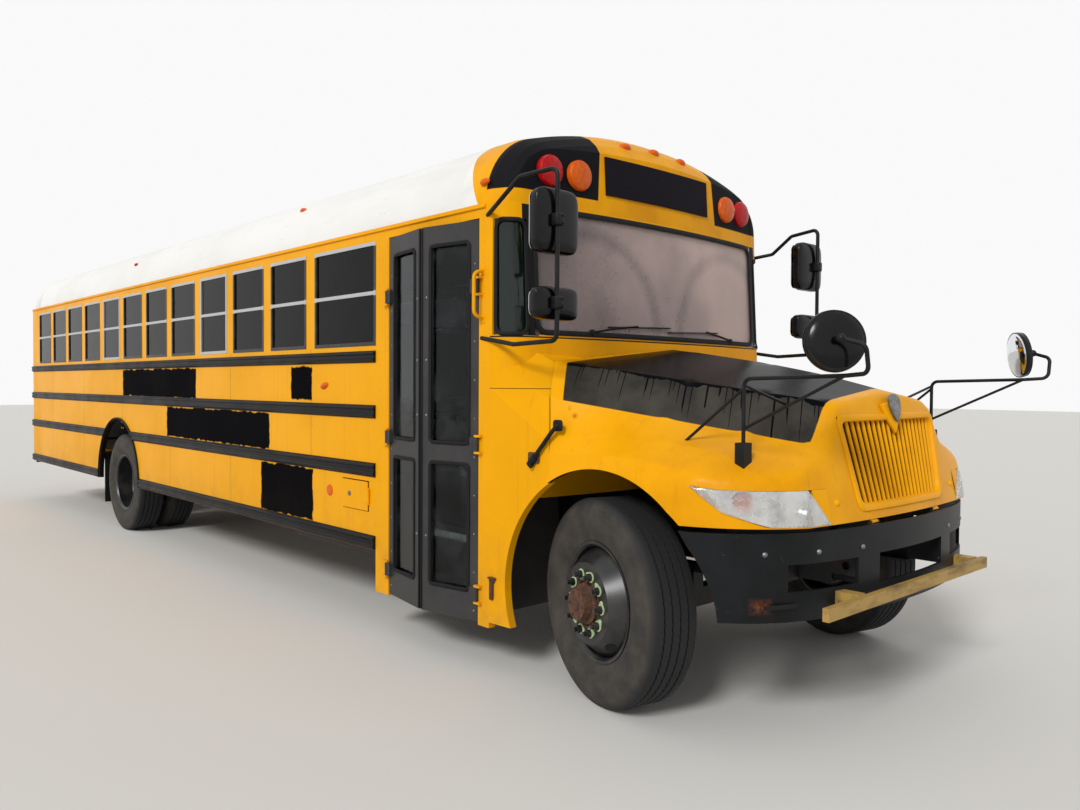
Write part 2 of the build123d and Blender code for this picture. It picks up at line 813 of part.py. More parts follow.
with BuildPart() as hood:
    add(hood_block(0))
    add(hood_block(hood_skin), mode=Mode.SUBTRACT)
    block((-900, 1100), (-1400, 1400), (0, hood_bottom_z), Mode.SUBTRACT)
    with BuildSketch(Plane.XZ):
        behind = [(x + move_gap, z) for x, z in hood_split]
        add(polygon_face([(-900, 0)] + behind + [(-560, 2200), (-900, 2200)]))
    extrude(amount=1500, both=True, mode=Mode.SUBTRACT)
    for side in (-1, 1):
        with Locations(Location((0, side * half_width, hub_z), (90, 0, 0))):
            Cylinder(arch_radius, 4 * wall, mode=Mode.SUBTRACT)
    with BuildSketch(Plane.YZ.offset(700)):
        add(polygon_face(grille_opening))
    extrude(amount=400, mode=Mode.SUBTRACT)
    for side in (-1, 1):
        with BuildSketch(Plane.XZ.offset(-side * lamp_inner_y)):
            add(polygon_face(lamp_region))
        extrude(amount=-side * 700, mode=Mode.SUBTRACT)
    for side in (-1, 1):
        at = hood_pivot.offset(side * hood_pivot_y)
        hinge_barrel(at, 60, 52, 0)
        block(
            (hood_pivot_x - 30, hood_pivot_x + 4),
            (side * hood_pivot_y - 28, side * hood_pivot_y + 28),
            (hood_bottom_z, hood_bottom_z + 36),
        )
save("hood", hood)


# Grille, badge and headlamps, which ride on the hood
with BuildPart() as grille:
    front = [(960 - hood_front[1] * (z - 1000) - 8, z) for z in (1000, 1450)]
    with BuildSketch(Plane.XZ):
        add(polygon_face(front + [(front[1][0] - 26, front[1][1]), (front[0][0] - 26, front[0][1])]))
    extrude(amount=600, both=True)
    with BuildSketch(Plane.YZ.offset(700)):
        add(polygon_face(grille_opening))
        offset(amount=-seat_gap, kind=Kind.INTERSECTION, mode=Mode.REPLACE)
    extrude(amount=400, mode=Mode.INTERSECT)
    bar_count = 17
    for step in range(bar_count - 1):
        y = -400 + step * 800 / (bar_count - 1)
        block((700, 1100), (y + 13, y + 37), (1050, 1402), Mode.SUBTRACT)

with BuildPart() as badge:
    rod((700, 0, 1478), (1100, 0, 1478), 48)
    add(hood_block(-8), mode=Mode.INTERSECT)
    add(hood_block(-seat_gap), mode=Mode.SUBTRACT)
    block((700, 860), (-100, 100), (1300, 1600), Mode.SUBTRACT)
save("grille", grille, badge)

with BuildPart() as headlamps:
    add(hood_block(3))
    add(hood_block(hood_skin + 26), mode=Mode.SUBTRACT)
    with BuildSketch(Plane.XZ):
        add(polygon_face(lamp_region))
        offset(amount=-seat_gap, kind=Kind.INTERSECTION, mode=Mode.REPLACE)
    extrude(amount=1500, both=True, mode=Mode.INTERSECT)
    inner = lamp_inner_y + seat_gap
    block((0, 1200), (-inner, inner), (0, 2000), Mode.SUBTRACT)
save("headlamps", headlamps)

# Front bumper, seen from above: a shallow front and long round ends
bumper_z = (560.0, 946.0)
bumper_nose_x = 1005.0
bumper_wall = 16.0


def bumper_outline(inset):
    """Plan outline of the bumper at a given inset."""
    side = 1208.0 - inset
    bend = (925.0 - inset, 700.0 - inset * 0.4)
    bulge = (780.0 - inset * 0.8, 1012.0 - inset * 0.7)
    with BuildSketch() as outline:
        with BuildLine():
            ThreePointArc((540, -side), (bulge[0], -bulge[1]), (bend[0], -bend[1]))
            ThreePointArc((bend[0], -bend[1]), (bumper_nose_x - inset, 0), bend)
            ThreePointArc(bend, bulge, (540, side))
            Polyline((540, side), (400, side), (400, -side), (540, -side))
        make_face()
    return outline.sketch_local


bumper_holes = [(-900.0, -495.0, 690.0, 808.0), (-335.0, 335.0, 676.0, 812.0), (495.0, 900.0, 690.0, 808.0)]
with BuildPart() as bumper:
    with BuildSketch(Plane.XY.offset(bumper_z[0])):
        add(bumper_outline(0))
        add(bumper_outline(bumper_wall), mode=Mode.SUBTRACT)
    extrude(amount=bumper_z[1] - bumper_z[0])
    with Locations(Location((0, 0, hub_z), (90, 0, 0))):
        Cylinder(arch_radius - 8, 3000, mode=Mode.SUBTRACT)
    for low, high, bottom, top in bumper_holes:
        block((800, 1100), (low, high), (bottom, top), Mode.SUBTRACT)
    block((300, 480), (-1300, 1300), (0, 2000), Mode.SUBTRACT)
    for side in (-1, 1):
        block((frame_nose_x + seat_gap, 970), (side * 350, side * 425), (670, 860))
save("front_bumper", bumper)

with BuildPart() as crossing_bar:
    block((1044, 1074), (-950, 715), (612, 668))
    for y in (-620, 620):
        block((880, 1045), (y - 30, y + 30), (606, 674))
    with BuildSketch(Plane.XY.offset(500)):
        add(bumper_outline(-seat_gap))
    extrude(amount=300, mode=Mode.SUBTRACT)
save("crossing_bar", crossing_bar)

with BuildPart() as rear_bumper:
    block((rear_x - bumper_depth_rear, rear_x - bumper_depth_rear + 14), (-1170, 1170), (470, 720))
    for side in (-1, 1):
        block((rear_x - bumper_depth_rear, rear_x - seat_gap), (side * 1156, side * 1170), (520, 720))
        block((rear_x - bumper_depth_rear, rear_x - seat_gap), (side * 400, side * 480), (560, 720))
save("rear_bumper", rear_bumper)

# Chassis frame: two channel rails, cross members, spring hangers and body sills
cross_member_x = (600.0, -1440.0, -2080.0, -3400.0, -4800.0, -6200.0, -7900.0, -9200.0, -10450.0)
front_spring = (-40.0, 620.0)
rear_spring = (-wheelbase, 720.0)
tow_eye_x = 880.0
tow_eye_radius = 20.0
tow_plate_y = 451.0
with BuildPart() as chassis:
    for side in (-1, 1):
        inner, outer = side * (frame_half_width - frame_flange), side * frame_half_width
        low = frame_top_z - frame_height
        block((rear_x + 60, frame_nose_x), (inner, outer), (low, frame_top_z))
        block(
            (rear_x + 59, frame_nose_x + 1),
            (inner - side, outer - side * frame_web),
            (low + frame_web, frame_top_z - frame_web),
            Mode.SUBTRACT,
        )
        for middle, reach in (front_spring, rear_spring):
            for end in (-1, 1):
                x = middle + end * reach
                block((x - 40, x + 40), (side * (frame_half_width - 5), side * 520), (640, 760))
        block((frame_nose_x - 120, tow_eye_x + 45), (side * 431, side * tow_plate_y), (705, 795))
        with Locations(Location((tow_eye_x, side * tow_plate_y, 750), (90, 0, 0))):
            Cylinder(tow_eye_radius, 100, mode=Mode.SUBTRACT)
    for x in cross_member_x:
        wide = frame_half_width - frame_web + 2
        block((x - 40, x + 40), (-wide, wide), (low + 40, low + 200))
    for side in (-1, 1):
        block((-7700, -7670), (side * (frame_half_width - 5), side * 1165), (780, 800))
        low_x, near_y, far_y = {-1: (-2950, 431, 1100), 1: (-2800, 431, 1120)}[side]
        for x in (low_x, -2250):
            block((x - 25, x + 25), (side * near_y, side * far_y), (890 + seat_gap, frame_top_z - 0.3))
    for x in (-1900, -5500):
        block((x - 15, x + 15), (285, 352), (570 + seat_gap, 660))
    for side in (-1, 1):
        at = hood_pivot.offset(side * hood_pivot_y)
        with Locations(at.location):
            Cylinder(7, 60 + 24)
        for end in (-1, 1):
            y = side * hood_pivot_y + end * 36
            block(
                (frame_nose_x - 60, hood_pivot_x + 12),
                (y - 6, y + 6),
                (hood_pivot_z - 40, hood_pivot_z + 8.5),
            )
        block(
            (frame_nose_x - 70, frame_nose_x - 20),
            (side * 280, side * 430),
            (frame_top_z - 20, hood_pivot_z - 20),
        )
save("chassis_frame", chassis)

# Cross sills between the frame and the floor
sill_count = 13
sill_pitch = 680.0
first_sill_x = -2080.0
with BuildPart() as sills:
    for step in range(sill_count):
        x = first_sill_x - step * sill_pitch
        if abs(x - rear_arch_x) > rear_arch_radius + 60:
            block(
                (x - 30, x + 30),
                (-floor_side + 120, floor_side - 120),
                (frame_top_z + seat_gap, floor_z - floor_thickness - seat_gap),
            )
save("floor_sills", sills)

with BuildPart() as engine:
    block((-450, 480), (-320, 320), (640, 1380))
    block((-1350, -450), (-180, 180), (560, 930))

with BuildPart() as radiator:
    block((640, 720), (-400, 400), (frame_top_z + seat_gap, 1400))
save("engine_block", engine, radiator)

with BuildPart() as fuel_tank:
    block((-3200, -1980), (-1130, -520), (430, 890))
    fillet(fuel_tank.edges().filter_by(Axis.X), 60)

with BuildPart() as battery_box:
    block((-2900, -2150), (620, 1150), (460, 890))
save("underfloor_boxes", fuel_tank, battery_box)

# Springs
with BuildPart() as springs:
    for middle, reach in (front_spring, rear_spring):
        for side in (-1, 1):
            for leaf in range(spring_leaves):
                shorter = reach if leaf == 0 else reach - 60 - leaf * 130
                z = spring_top_z - leaf * leaf_thickness
                block(
                    (middle - shorter, middle + shorter),
                    (side * 442, side * 514),
                    (z - leaf_thickness, z),
                )
save("leaf_springs", springs)

# Front axle: a dropped beam with an upright eye at each end for its kingpin
kingpin_eye = (hub_z - 50, hub_z + 50)
spring_pad_z = spring_top_z - spring_leaves * leaf_thickness - seat_gap
with BuildPart() as front_axle:
    block((-42, 42), (-760, 760), (400, 500))
    for side in (-1, 1):
        with Locations((0, side * kingpin_y, hub_z)):
            Cylinder(46, 100)
        block((-42, 42), (side * (kingpin_y - 20), side * 700), (442, kingpin_eye[1]))
        block((-60, 60), (side * 436, side * 520), (499, spring_pad_z))
    for side in (-1, 1):
        with Locations((0, side * kingpin_y, hub_z)):
            Cylinder(kingpin_radius + running_gap, 101, mode=Mode.SUBTRACT)
        with Locations((0, side * (kingpin_y + 60), hub_z)):
            Box(200, 40, 200, mode=Mode.SUBTRACT)
        for z in (kingpin_eye[0] - 30, kingpin_eye[1] + 30):
            with Locations((0, side * kingpin_y, z)):
                Cylinder(60, 60, mode=Mode.SUBTRACT)


def steered(side, piece):
    """Turns a piece of one front wheel about its kingpin to where it stands."""
    return piece.rotate(Axis((0, side * kingpin_y, 0), (0, 0, 1)), steer_at_rest)


def knuckle(side):
    """Steering knuckle unsteered: two ears round the axle's eye, kingpin, spindle and arm."""
    y = side * kingpin_y
    with BuildPart() as part:
        for z in (kingpin_eye[0] - 1 - 14, kingpin_eye[1] + 1 + 14):
            with Locations((0, y, z)):
                Cylinder(44, 28)
        with Locations((0, y, hub_z)):
            Cylinder(kingpin_radius, 150)
        block((-40, 40), (y + side * 52, y + side * 84), (kingpin_eye[0] - 29, kingpin_eye[1] + 29))
        for z in (kingpin_eye[0] - 29, kingpin_eye[1] + 1):
            block((-40, 40), (y, y + side * 60), (z, z + 28))
        with Locations(Location((0, y + side * 190, hub_z), (90, 0, 0))):
            Cylinder(spindle_radius, 280)
        with Locations(Location((0, y + side * 70, hub_z), (90, 0, 0))):
            Cylinder(70, 34)
        low = kingpin_eye[0] - 29
        block((-steering_arm, 0), (y - side * 16, y + side * 16), (low - 24, low + 2))
        with Locations((-steering_arm, y, low - 30)):
            Cylinder(10, 60)
        with Locations((-steering_arm, y, low - 12)):
            Cylinder(24, 24)
    return steered(side, part.part)


for name, side in (("right", -1), ("left", 1)):
    with BuildPart() as turned:
        add(knuckle(side))
    save(f"steering_knuckle_{name}", turned)

arm_z = kingpin_eye[0] - 29 - 24
with BuildPart() as tie_rod:
    ends = []
    for side in (-1, 1):
        turn = radians(steer_at_rest)
        x = -steering_arm * cos(turn)
        y = side * kingpin_y - steering_arm * sin(turn)
        ends.append((x, y))
        with Locations((x, y, arm_z - 17)):
            Cylinder(28, 28)
    x = (ends[0][0] + ends[1][0]) / 2
    block((x - 16, x + 16), (ends[0][1] + 10, ends[1][1] - 10), (arm_z - 31, arm_z - 5))
    for x, y in ends:
        with Locations((x, y, arm_z - 17)):
            Cylinder(10 + running_gap, 40, mode=Mode.SUBTRACT)
save("tie_rod", tie_rod)

# Wheels: section of tyre and rim in radius and width, turned about the axle line
tyre_outside = [
    (286.3, 84), (286.3, 105), (298.5, 108), (330, 121), (400, 139.5), (455, 135), (497, 120), (512, 104),
]
tyre_inside = [(480, 100), (450, 118), (400, 122), (330, 100)]
tyre_section = (
    tyre_outside
    + [(radius, -width) for radius, width in reversed(tyre_outside)]
    + [(radius, -width) for radius, width in reversed(tyre_inside)]
    + tyre_inside
)


def turned_ring(points, side, y):
    """A ring from its section in radius and width, about the axle line at a place across the bus."""
    with BuildPart() as ring:
        with BuildSketch(Plane.XY):
            add(polygon_face([(r, y + side * w) for r, w in points]))
        revolve(axis=Axis.Y)
    return ring.part.moved(Location((0, 0, hub_z)))


def rim_section(way):
    """Rim and disc of one wheel; way is the side of the rim that the disc stands towards."""
    offset = way * disc_offset
    inner = way * (disc_offset - disc_thickness)
    step = way * 60.0
    ring = [
        (286.0, way * 106), (298.0, way * 109), (298.0, way * 115), (283.0, way * 113),
        (272.0, way * 100), (272.0, step + way * 12), (200.0, offset), (110.3, offset),
        (110.3, inner), (196.0, inner), (260.0, step), (272.0, step - way * 14),
        (272.0, -way * 100), (283.0, -way * 113), (298.0, -way * 115), (298.0, -way * 109),
        (286.0, -way * 106), (286.0, -way * 60), (284.0, 0), (286.0, way * 60),
    ]
    return ring


def disc_wheel(side, y, way):
    """One disc wheel with its stud holes."""
    with BuildPart() as wheel:
        add(turned_ring(rim_section(way), side, y))
        middle = y + side * way * (disc_offset - disc_thickness / 2)
        with Locations(Location((0, middle, hub_z), (90, 0, 0))):
            with PolarLocations(stud_circle / 2, stud_count):
                Cylinder(13, 60, mode=Mode.SUBTRACT)
    return wheel.part


def hub(side, face_y, bore, inner_y, cap_y, flange_back):
    """Wheel hub: barrel on its spindle, flange with studs and nuts, drum and cap."""
    with BuildPart() as part:
        with Locations(Location((0, side * (inner_y + face_y) / 2, hub_z), (90, 0, 0))):
            Cylinder(100, face_y - inner_y + 20)
        with Locations(Location((0, side * (flange_back - 12.3), hub_z), (90, 0, 0))):
            Cylinder(172, 24)
        with Locations(Location((0, side * (face_y + cap_y) / 2, hub_z), (90, 0, 0))):
            Cylinder(76, cap_y - face_y + 20)
        with Locations(Location((0, side * (flange_back - 130), hub_z), (90, 0, 0))):
            Cylinder(206, 230)
            Cylinder(192, 231, mode=Mode.SUBTRACT)
        with Locations(Location((0, side * (flange_back - 24), hub_z), (90, 0, 0))):
            Cylinder(206, 20)
            Cylinder(90, 20.1, mode=Mode.SUBTRACT)
        with Locations(Location((0, side * (inner_y + face_y) / 2, hub_z), (90, 0, 0))):
            Cylinder(100, face_y - inner_y + 20)
        with Locations(Location((0, side * (face_y + 8), hub_z), (90, 0, 0))):
            with PolarLocations(stud_circle / 2, stud_count):
                Cylinder(11, 76)
        with Locations(Location((0, side * (face_y + 14.3), hub_z), (90, 0, 0))):
            with PolarLocations(stud_circle / 2, stud_count):
                Cylinder(19, 28)
        span = cap_y - inner_y
        with Locations(Location((0, side * (inner_y - 30 + span / 2 - 10), hub_z), (90, 0, 0))):
            Cylinder(bore + running_gap, span + 40, mode=Mode.SUBTRACT)
    return part.part


for name, side in (("right", -1), ("left", 1)):
    y = side * front_tyre_y
    face = front_tyre_y + disc_offset
    with BuildPart() as tyre:
        add(steered(side, turned_ring(tyre_section, side, y)))
    save(f"front_tyre_{name}", tyre)
    with BuildPart() as wheel:
        add(steered(side, disc_wheel(side, y, 1)))
    with BuildPart() as front_hub:
        add(steered(side, hub(side, face, spindle_radius, 945, face + 50, face - disc_thickness)))
    save(f"front_wheel_{name}", wheel, front_hub)

rear_spindle = 60.0
rear_inner_tyre_y = rear_outer_tyre_y - 2 * disc_offset
rear_face = rear_outer_tyre_y - disc_offset
to_rear = Location((-wheelbase, 0, 0))
for name, side in (("right", -1), ("left", 1)):
    with BuildPart() as tyres:
        for y in (rear_outer_tyre_y, rear_inner_tyre_y):
            add(turned_ring(tyre_section, side, side * y).moved(to_rear))
    save(f"rear_tyres_{name}", tyres)
    with BuildPart() as wheels:
        add(disc_wheel(side, side * (rear_outer_tyre_y + seat_gap / 2), -1).moved(to_rear))
        add(disc_wheel(side, side * (rear_inner_tyre_y - seat_gap / 2), 1).moved(to_rear))
    with BuildPart() as rear_hub:
        back = rear_face - disc_thickness - seat_gap
        hub_part = hub(side, rear_face + disc_thickness, rear_spindle, 620, rear_face + 110, back)
        add(hub_part.moved(to_rear))
    save(f"rear_wheels_{name}", wheels, rear_hub)

# Rear axle: a tube with the gear housing in its middle
with BuildPart() as rear_axle:
    with Locations(Location((-wheelbase, 0, hub_z), (90, 0, 0))):
        Cylinder(rear_spindle, 2 * (rear_face + 60))
        Cylinder(82, 2 * 560)
    with Locations((-wheelbase, 0, hub_z)):
        Sphere(215)
    block((-wheelbase + 150, -wheelbase + 330), (-70, 70), (hub_z - 70, hub_z + 70))
    for side in (-1, 1):
        block((-wheelbase - 60, -wheelbase + 60), (side * 440, side * 516), (hub_z, spring_pad_z))
save("axle_beams", front_axle, rear_axle)

with BuildPart() as drive_shaft:
    rod((-1340, 0, 640), (-4000, 0, 600), 50)
    rod((-4000, 0, 600), (-wheelbase + 320, 0, hub_z), 50)
    block((-1350 - seat_gap, -1200), (-100, 100), (400, 800), Mode.SUBTRACT)
    block((-wheelbase, -wheelbase + 330 + seat_gap), (-100, 100), (400, 800), Mode.SUBTRACT)


# Exhaust and mud flaps
with BuildPart() as exhaust:
    rod((-1500, 300, 520), (-3300, 300, 520), 50)
    rod((-3300, 300, 520), (-4600, 300, 520), 130)
    rod((-4600, 300, 520), (-6000, 300, 520), 50)
save("drive_shaft_and_exhaust", drive_shaft, exhaust)

with BuildPart() as mud_flaps:
    for side in (-1, 1):
        block((-7690, -7680), (side * 590, side * 1165), (230, 779.7))
save("mud_flaps", mud_flaps)

# Fuel filler door, hinged at its front edge and closed
with BuildPart() as fuel_door:
    low, high = fuel_door_z[0] + move_gap, fuel_door_z[1] - move_gap
    face_y = -(half_width + 8)
    block((fuel_door_x[0] + move_gap, fuel_door_x[1] - move_gap), (face_y, face_y + 6), (low, high))
    hinge_barrel(fuel_hinge, 90, 50, 0, 4.0)
save("fuel_door", fuel_door)

# Stop arm on the left side, folded flat against the body
stop_axis_x = -1990.0
stop_plane = Plane(origin=(stop_axis_x, half_width + 40, 1580), x_dir=(-1, 0, 0), z_dir=(0, 0, 1))
with BuildPart() as stop_bracket:
    block((stop_axis_x - 20, stop_axis_x + 60), (half_width + seat_gap, half_width + 22), (1500, 1660))
    hinge_pin(stop_plane, 120, 16, 30, -90)
with BuildPart() as stop_arm:
    hinge_barrel(stop_plane, 120, 60)
    with BuildSketch(Plane.XZ.offset(-(half_width + 38))):
        with Locations((stop_axis_x - 280, 1580)):
            RegularPolygon(225, 8, major_radius=False, rotation=22.5)
    extrude(amount=-4, both=False)
save("stop_arm", stop_arm)

# Mirrors beside the windshield: a bent arm on each side, and two heads clamped behind its upright
mirror_post = (-250.0, 1235.0)
mirror_heads_z = {"large": (2235.0, 2560.0), "small": (1905.0, 2070.0)}
mirror_arm_radius_side = 12.0
mirror_clamp = 27.0
head_y = (1052.0, 1348.0)
head_x = (-345.0, -268.0)
with BuildPart() as mirror_arms:
    for side in (-1, 1):
        post_y = side * mirror_post[1]
        foot_y = side * (half_width - 5)
        add(
            bent_tube(
                [
                    (-819, foot_y, 2500),
                    (-640, side * 1290, 2530),
                    (-480, side * 1280, 2640),
                    (mirror_post[0], post_y, 2655),
                    (mirror_post[0], post_y, 1800),
                    (-560, side * 1250, 1790),
                    (-867, foot_y, 1835),
                ],
                40,
                mirror_arm_radius_side,
            )
        )
    near = half_width + seat_gap
    block((-1000, -700), (-near, near), (1700, 2700), Mode.SUBTRACT)
save("body_brackets", mirror_arms, stop_bracket)

with BuildPart() as mirror_heads:
    for side in (-1, 1):
        post_y = side * mirror_post[1]
        for low, high in mirror_heads_z.values():
            block(head_x, (side * head_y[0], side * head_y[1]), (low, high))
            middle = (low + high) / 2
            block(
                (head_x[1] - 1, mirror_post[0] + mirror_clamp),
                (post_y - mirror_clamp, post_y + mirror_clamp),
                (middle - 30, middle + 30),
            )
    for side in (-1, 1):
        post_y = side * mirror_post[1]
        bore = mirror_arm_radius_side + seat_gap
        rod((mirror_post[0], post_y, 1850), (mirror_post[0], post_y, 2610), bore, Mode.SUBTRACT)
save("side_mirror_heads", mirror_heads)

# Cross-view mirrors, which ride on the hood: a post on each fender, a forward arm and a round head
cross_post = (658.0, 960.0)
cross_arm_z = 1612.0
cross_disc = (1117.0, 1015.0, 1762.0)
cross_disc_normal = (0.75, 0.65, 0.12)
cross_disc_radius = 122.0
cross_disc_depth = 34.0
cross_ball = 52.0
with BuildPart() as cross_arms:
    for side in (-1, 1):
        post_x, post_y = cross_post[0], side * cross_post[1]
        way_x, way_y, way_z = cross_disc_normal
        normal = Vector(way_x, side * way_y, way_z).normalized()
        disc = Vector(cross_disc[0], side * cross_disc[1], cross_disc[2])
        ball = disc + normal * (cross_disc_depth / 2 + cross_ball)
        add(
            bent_tube(
                [
                    (post_x, post_y, 1230),
                    (post_x, post_y, cross_arm_z),
                    (1150, side * 985, cross_arm_z + 12),
                    (mirror_hook_x, side * 1015, cross_arm_z + 20),
                    (mirror_hook_x, side * 1040, cross_arm_z + 130),
                    (ball.X, ball.Y, ball.Z),
                ],
                36,
                mirror_arm_radius,
            )
        )
        rod((post_x, post_y, 1390), (1140, side * 985, cross_arm_z + 8), 7)
        rod((post_x, post_y, 1570), (335, side * 975, 1310), 7)
        rod((post_x, post_y, 1585), (634, side * 560, 1490), 7)
        block((post_x - 24, post_x + 24), (post_y - 30, post_y + 30), (1180, 1330))
        with Locations(Plane(origin=disc, z_dir=normal)):
            Cylinder(cross_disc_radius, cross_disc_depth)
        rod(tuple(disc), tuple(ball + normal * 8), 10)
        with Locations(Plane(origin=ball, z_dir=normal)):
            Sphere(19)
    add(hood_block(-seat_gap), mode=Mode.SUBTRACT)
save("cross_view_mirrors", cross_arms)

# Lamps, destination sign, badge
with BuildPart() as tail_lamps:
    for side in (-1, 1):
        for z, radius in ((1240, 90), (1040, 60)):
            with Locations(Location((rear_x - 14, side * 960, z), (0, 90, 0))):
                Cylinder(radius, 28 - 2 * seat_gap)

warning_lamps = {}
lamp_radius = 88.0
lamp_reach = 34.0
for colour_place, colour in [(902.0, "red"), (698.0, "amber")]:
    with BuildPart() as lamps:
        for side in (-1, 1):
            y = side * colour_place
            x = front_x(y, 2765)
            with Locations(Location((x, y, 2765), (0, 90, 0))):
                Cylinder(lamp_radius, 2 * lamp_reach)
            rear_y = side * (colour_place - 22)
            with Locations(Location((rear_x - 24 - seat_gap, rear_y, 2690), (0, 90, 0))):
                Cylinder(lamp_radius, 48)
        add(front_block(2600, 2950, -seat_gap, corner_x - 60), mode=Mode.SUBTRACT)
    warning_lamps[colour] = lamps
save("red_lamps", warning_lamps["red"], tail_lamps)
save("amber_lamps", warning_lamps["amber"])

with BuildPart() as sign:
    add(front_block(2682, 2906, -10, corner_x - 30))
    add(front_block(2680, 2908, -seat_gap, corner_x - 60), mode=Mode.SUBTRACT)
    block((-1000, -300), (-500, 460), (2600, 3000), Mode.INTERSECT)
save("destination_sign", sign)

# Seats: twelve rows on both sides of the aisle
seat_rows = 12
seat_pitch = 668.0
first_seat_x = -2350.0
seat_y = (190.0, 1150.0)
with BuildPart() as seat_frames:
    for row in range(seat_rows):
        x = first_seat_x - row * seat_pitch
        for side in (-1, 1):
            across = (side * seat_y[0], side * floor_side)
            leg = side * 220
            block((x - 430, x - 10), across, (floor_z + 330, floor_z + 350))
            block((x - 380, x - 60), (leg - 15, leg + 15), (floor_z + seat_gap, floor_z + 331))
            block((x - 350, x - 90), (leg - 16, leg + 16), (floor_z + 30, floor_z + 300), Mode.SUBTRACT)
            block((x - 450, x - 430), across, (floor_z + 330, floor_z + 980))
save("passenger_seat_frames", seat_frames)
with BuildPart() as seat_pads:
    for row in range(seat_rows):
        x = first_seat_x - row * seat_pitch
        for side in (-1, 1):
            across = (side * seat_y[0], side * seat_y[1])
            block((x - 360, x), across, (floor_z + 350 + seat_gap, floor_z + 460))
            block((x - 430 + seat_gap, x - 362), across, (floor_z + 350 + seat_gap, floor_z + 1040))
save("passenger_seat_pads", seat_pads)

with BuildPart() as driver_seat:
    block((-1900, -1400), (230, 730), (floor_z + 380, floor_z + 500))
    block((-2010, -1901), (230, 730), (floor_z + 380, floor_z + 1150))
    block((-1960, -1450), (280, 680), (floor_z + seat_gap, floor_z + 381))
save("driver_seat", driver_seat)

with BuildPart() as dashboard:
    add(front_block(floor_z - 41, gutter_z + 1, wall + seat_gap, -960))
    block((-1200, -300), (-560, 1150), (1380, 1800), Mode.INTERSECT)

with BuildPart() as steering_wheel:
    axis = Plane(origin=(-1120, 480, 1760), x_dir=(0, 1, 0), z_dir=(-0.55, 0, 0.84))
    with Locations(axis.location):
        Torus(215, 15)
        Cylinder(50, 40)
        Box(420, 26, 16)
    rod((-1110, 480, 1745), (-962, 480, 1520), 28)
save("dashboard", dashboard, steering_wheel)
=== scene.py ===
from math import cos, pi, radians, sin

import bmesh
import bpy
import numpy as np
from mathutils import Matrix, Vector


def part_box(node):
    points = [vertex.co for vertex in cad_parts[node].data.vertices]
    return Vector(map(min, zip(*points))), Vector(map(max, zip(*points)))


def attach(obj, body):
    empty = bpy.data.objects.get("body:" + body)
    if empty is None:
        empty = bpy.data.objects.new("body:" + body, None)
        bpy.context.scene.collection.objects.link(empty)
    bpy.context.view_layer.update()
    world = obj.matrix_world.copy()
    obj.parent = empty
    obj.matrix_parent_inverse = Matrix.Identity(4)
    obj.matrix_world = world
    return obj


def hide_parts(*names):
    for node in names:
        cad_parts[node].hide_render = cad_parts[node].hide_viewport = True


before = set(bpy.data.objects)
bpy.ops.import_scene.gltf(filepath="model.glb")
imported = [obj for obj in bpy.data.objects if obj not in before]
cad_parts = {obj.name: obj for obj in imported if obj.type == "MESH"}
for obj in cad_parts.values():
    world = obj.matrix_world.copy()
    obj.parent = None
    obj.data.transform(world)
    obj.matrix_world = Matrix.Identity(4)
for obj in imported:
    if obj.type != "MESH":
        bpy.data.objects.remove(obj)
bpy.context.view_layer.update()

# Looks of a full-size school bus. Work frame: millimetres from the ground under the middle of the
# front axle, X forward, Y to the bus's left, Z up. Stored frame: metres, moved along X by axle_x.
wheelbase = 7010.0
rear_low, rear_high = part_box("rear_tyres_right")
axle_x = (rear_low.x + rear_high.x) / 2 + wheelbase / 1000

# Sizes that the body and its parts share, in millimetres
half_width = 1219.0
rear_x = -(wheelbase + 3607.0)
hub_z = 512.0
kingpin_y = 840.0
steer_at_rest = radians(-15)
gutter_z = 2569.0
floor_z = 1010.0
window_pitch = 685.0
window_width = 560.0
second_window_x = -2856.0
first_seam_x = -2790.0
stop_arm_x = -2270.0
lamp_z = 2765.0
both_sides = (-1, 1)
sides = (("right", -1), ("left", 1))

# The hood's front leans back with height and bows in plan; it stands at nose_front 1 m up
nose_front = 960.0
nose_lean = 0.207
nose_bow = 60.0 / 819**2

# Wipers: the pivot's Y, the arm's tip, and the blade's two ends, in Y and Z
wiper_pivot_z = 1880.0
wiper_places = (
    (-640.0, (-285, 1928), ((-512, 1915), (24, 1934))),
    (700.0, (392, 1926), ((5, 1905), (540, 1926))),
)


# Surfaces
def unit(vector):
    """A vector, or each row of an array of them, at length one."""
    vector = np.asarray(vector, float)
    return vector / np.linalg.norm(vector, axis=-1, keepdims=True)


def across(axis):
    """Two directions square to an axis and to each other."""
    axis = unit(axis)
    level = (0, 0, 1) if abs(axis[2]) < 0.9 else (1, 0, 0)
    side = unit(np.cross(axis, level))
    return side, np.cross(side, axis)


def turned(profile, centre, axis, around=48, joined=False):
    """A profile of places along and radii off an axis, carried round it:
    point = centre + along * axis + radius * (cos a * side + sin a * up)."""
    side, up = across(axis)
    along, radius = np.asarray(profile, float).T[:, :, None, None]
    angle = np.linspace(0, 2 * pi, around, endpoint=False)[:, None]
    ring = np.cos(angle) * side + np.sin(angle) * up
    return np.asarray(centre) + along * unit(axis) + radius * ring, joined, True


def capped(rows):
    """A closed sheet of rows of points: the first and the last close on their own mean."""
    rows = np.asarray(rows)
    first, last = (np.repeat(rows[k].mean(0)[None, None], rows.shape[1], 1) for k in (0, -1))
    return np.concatenate([first, rows, last]), False, True


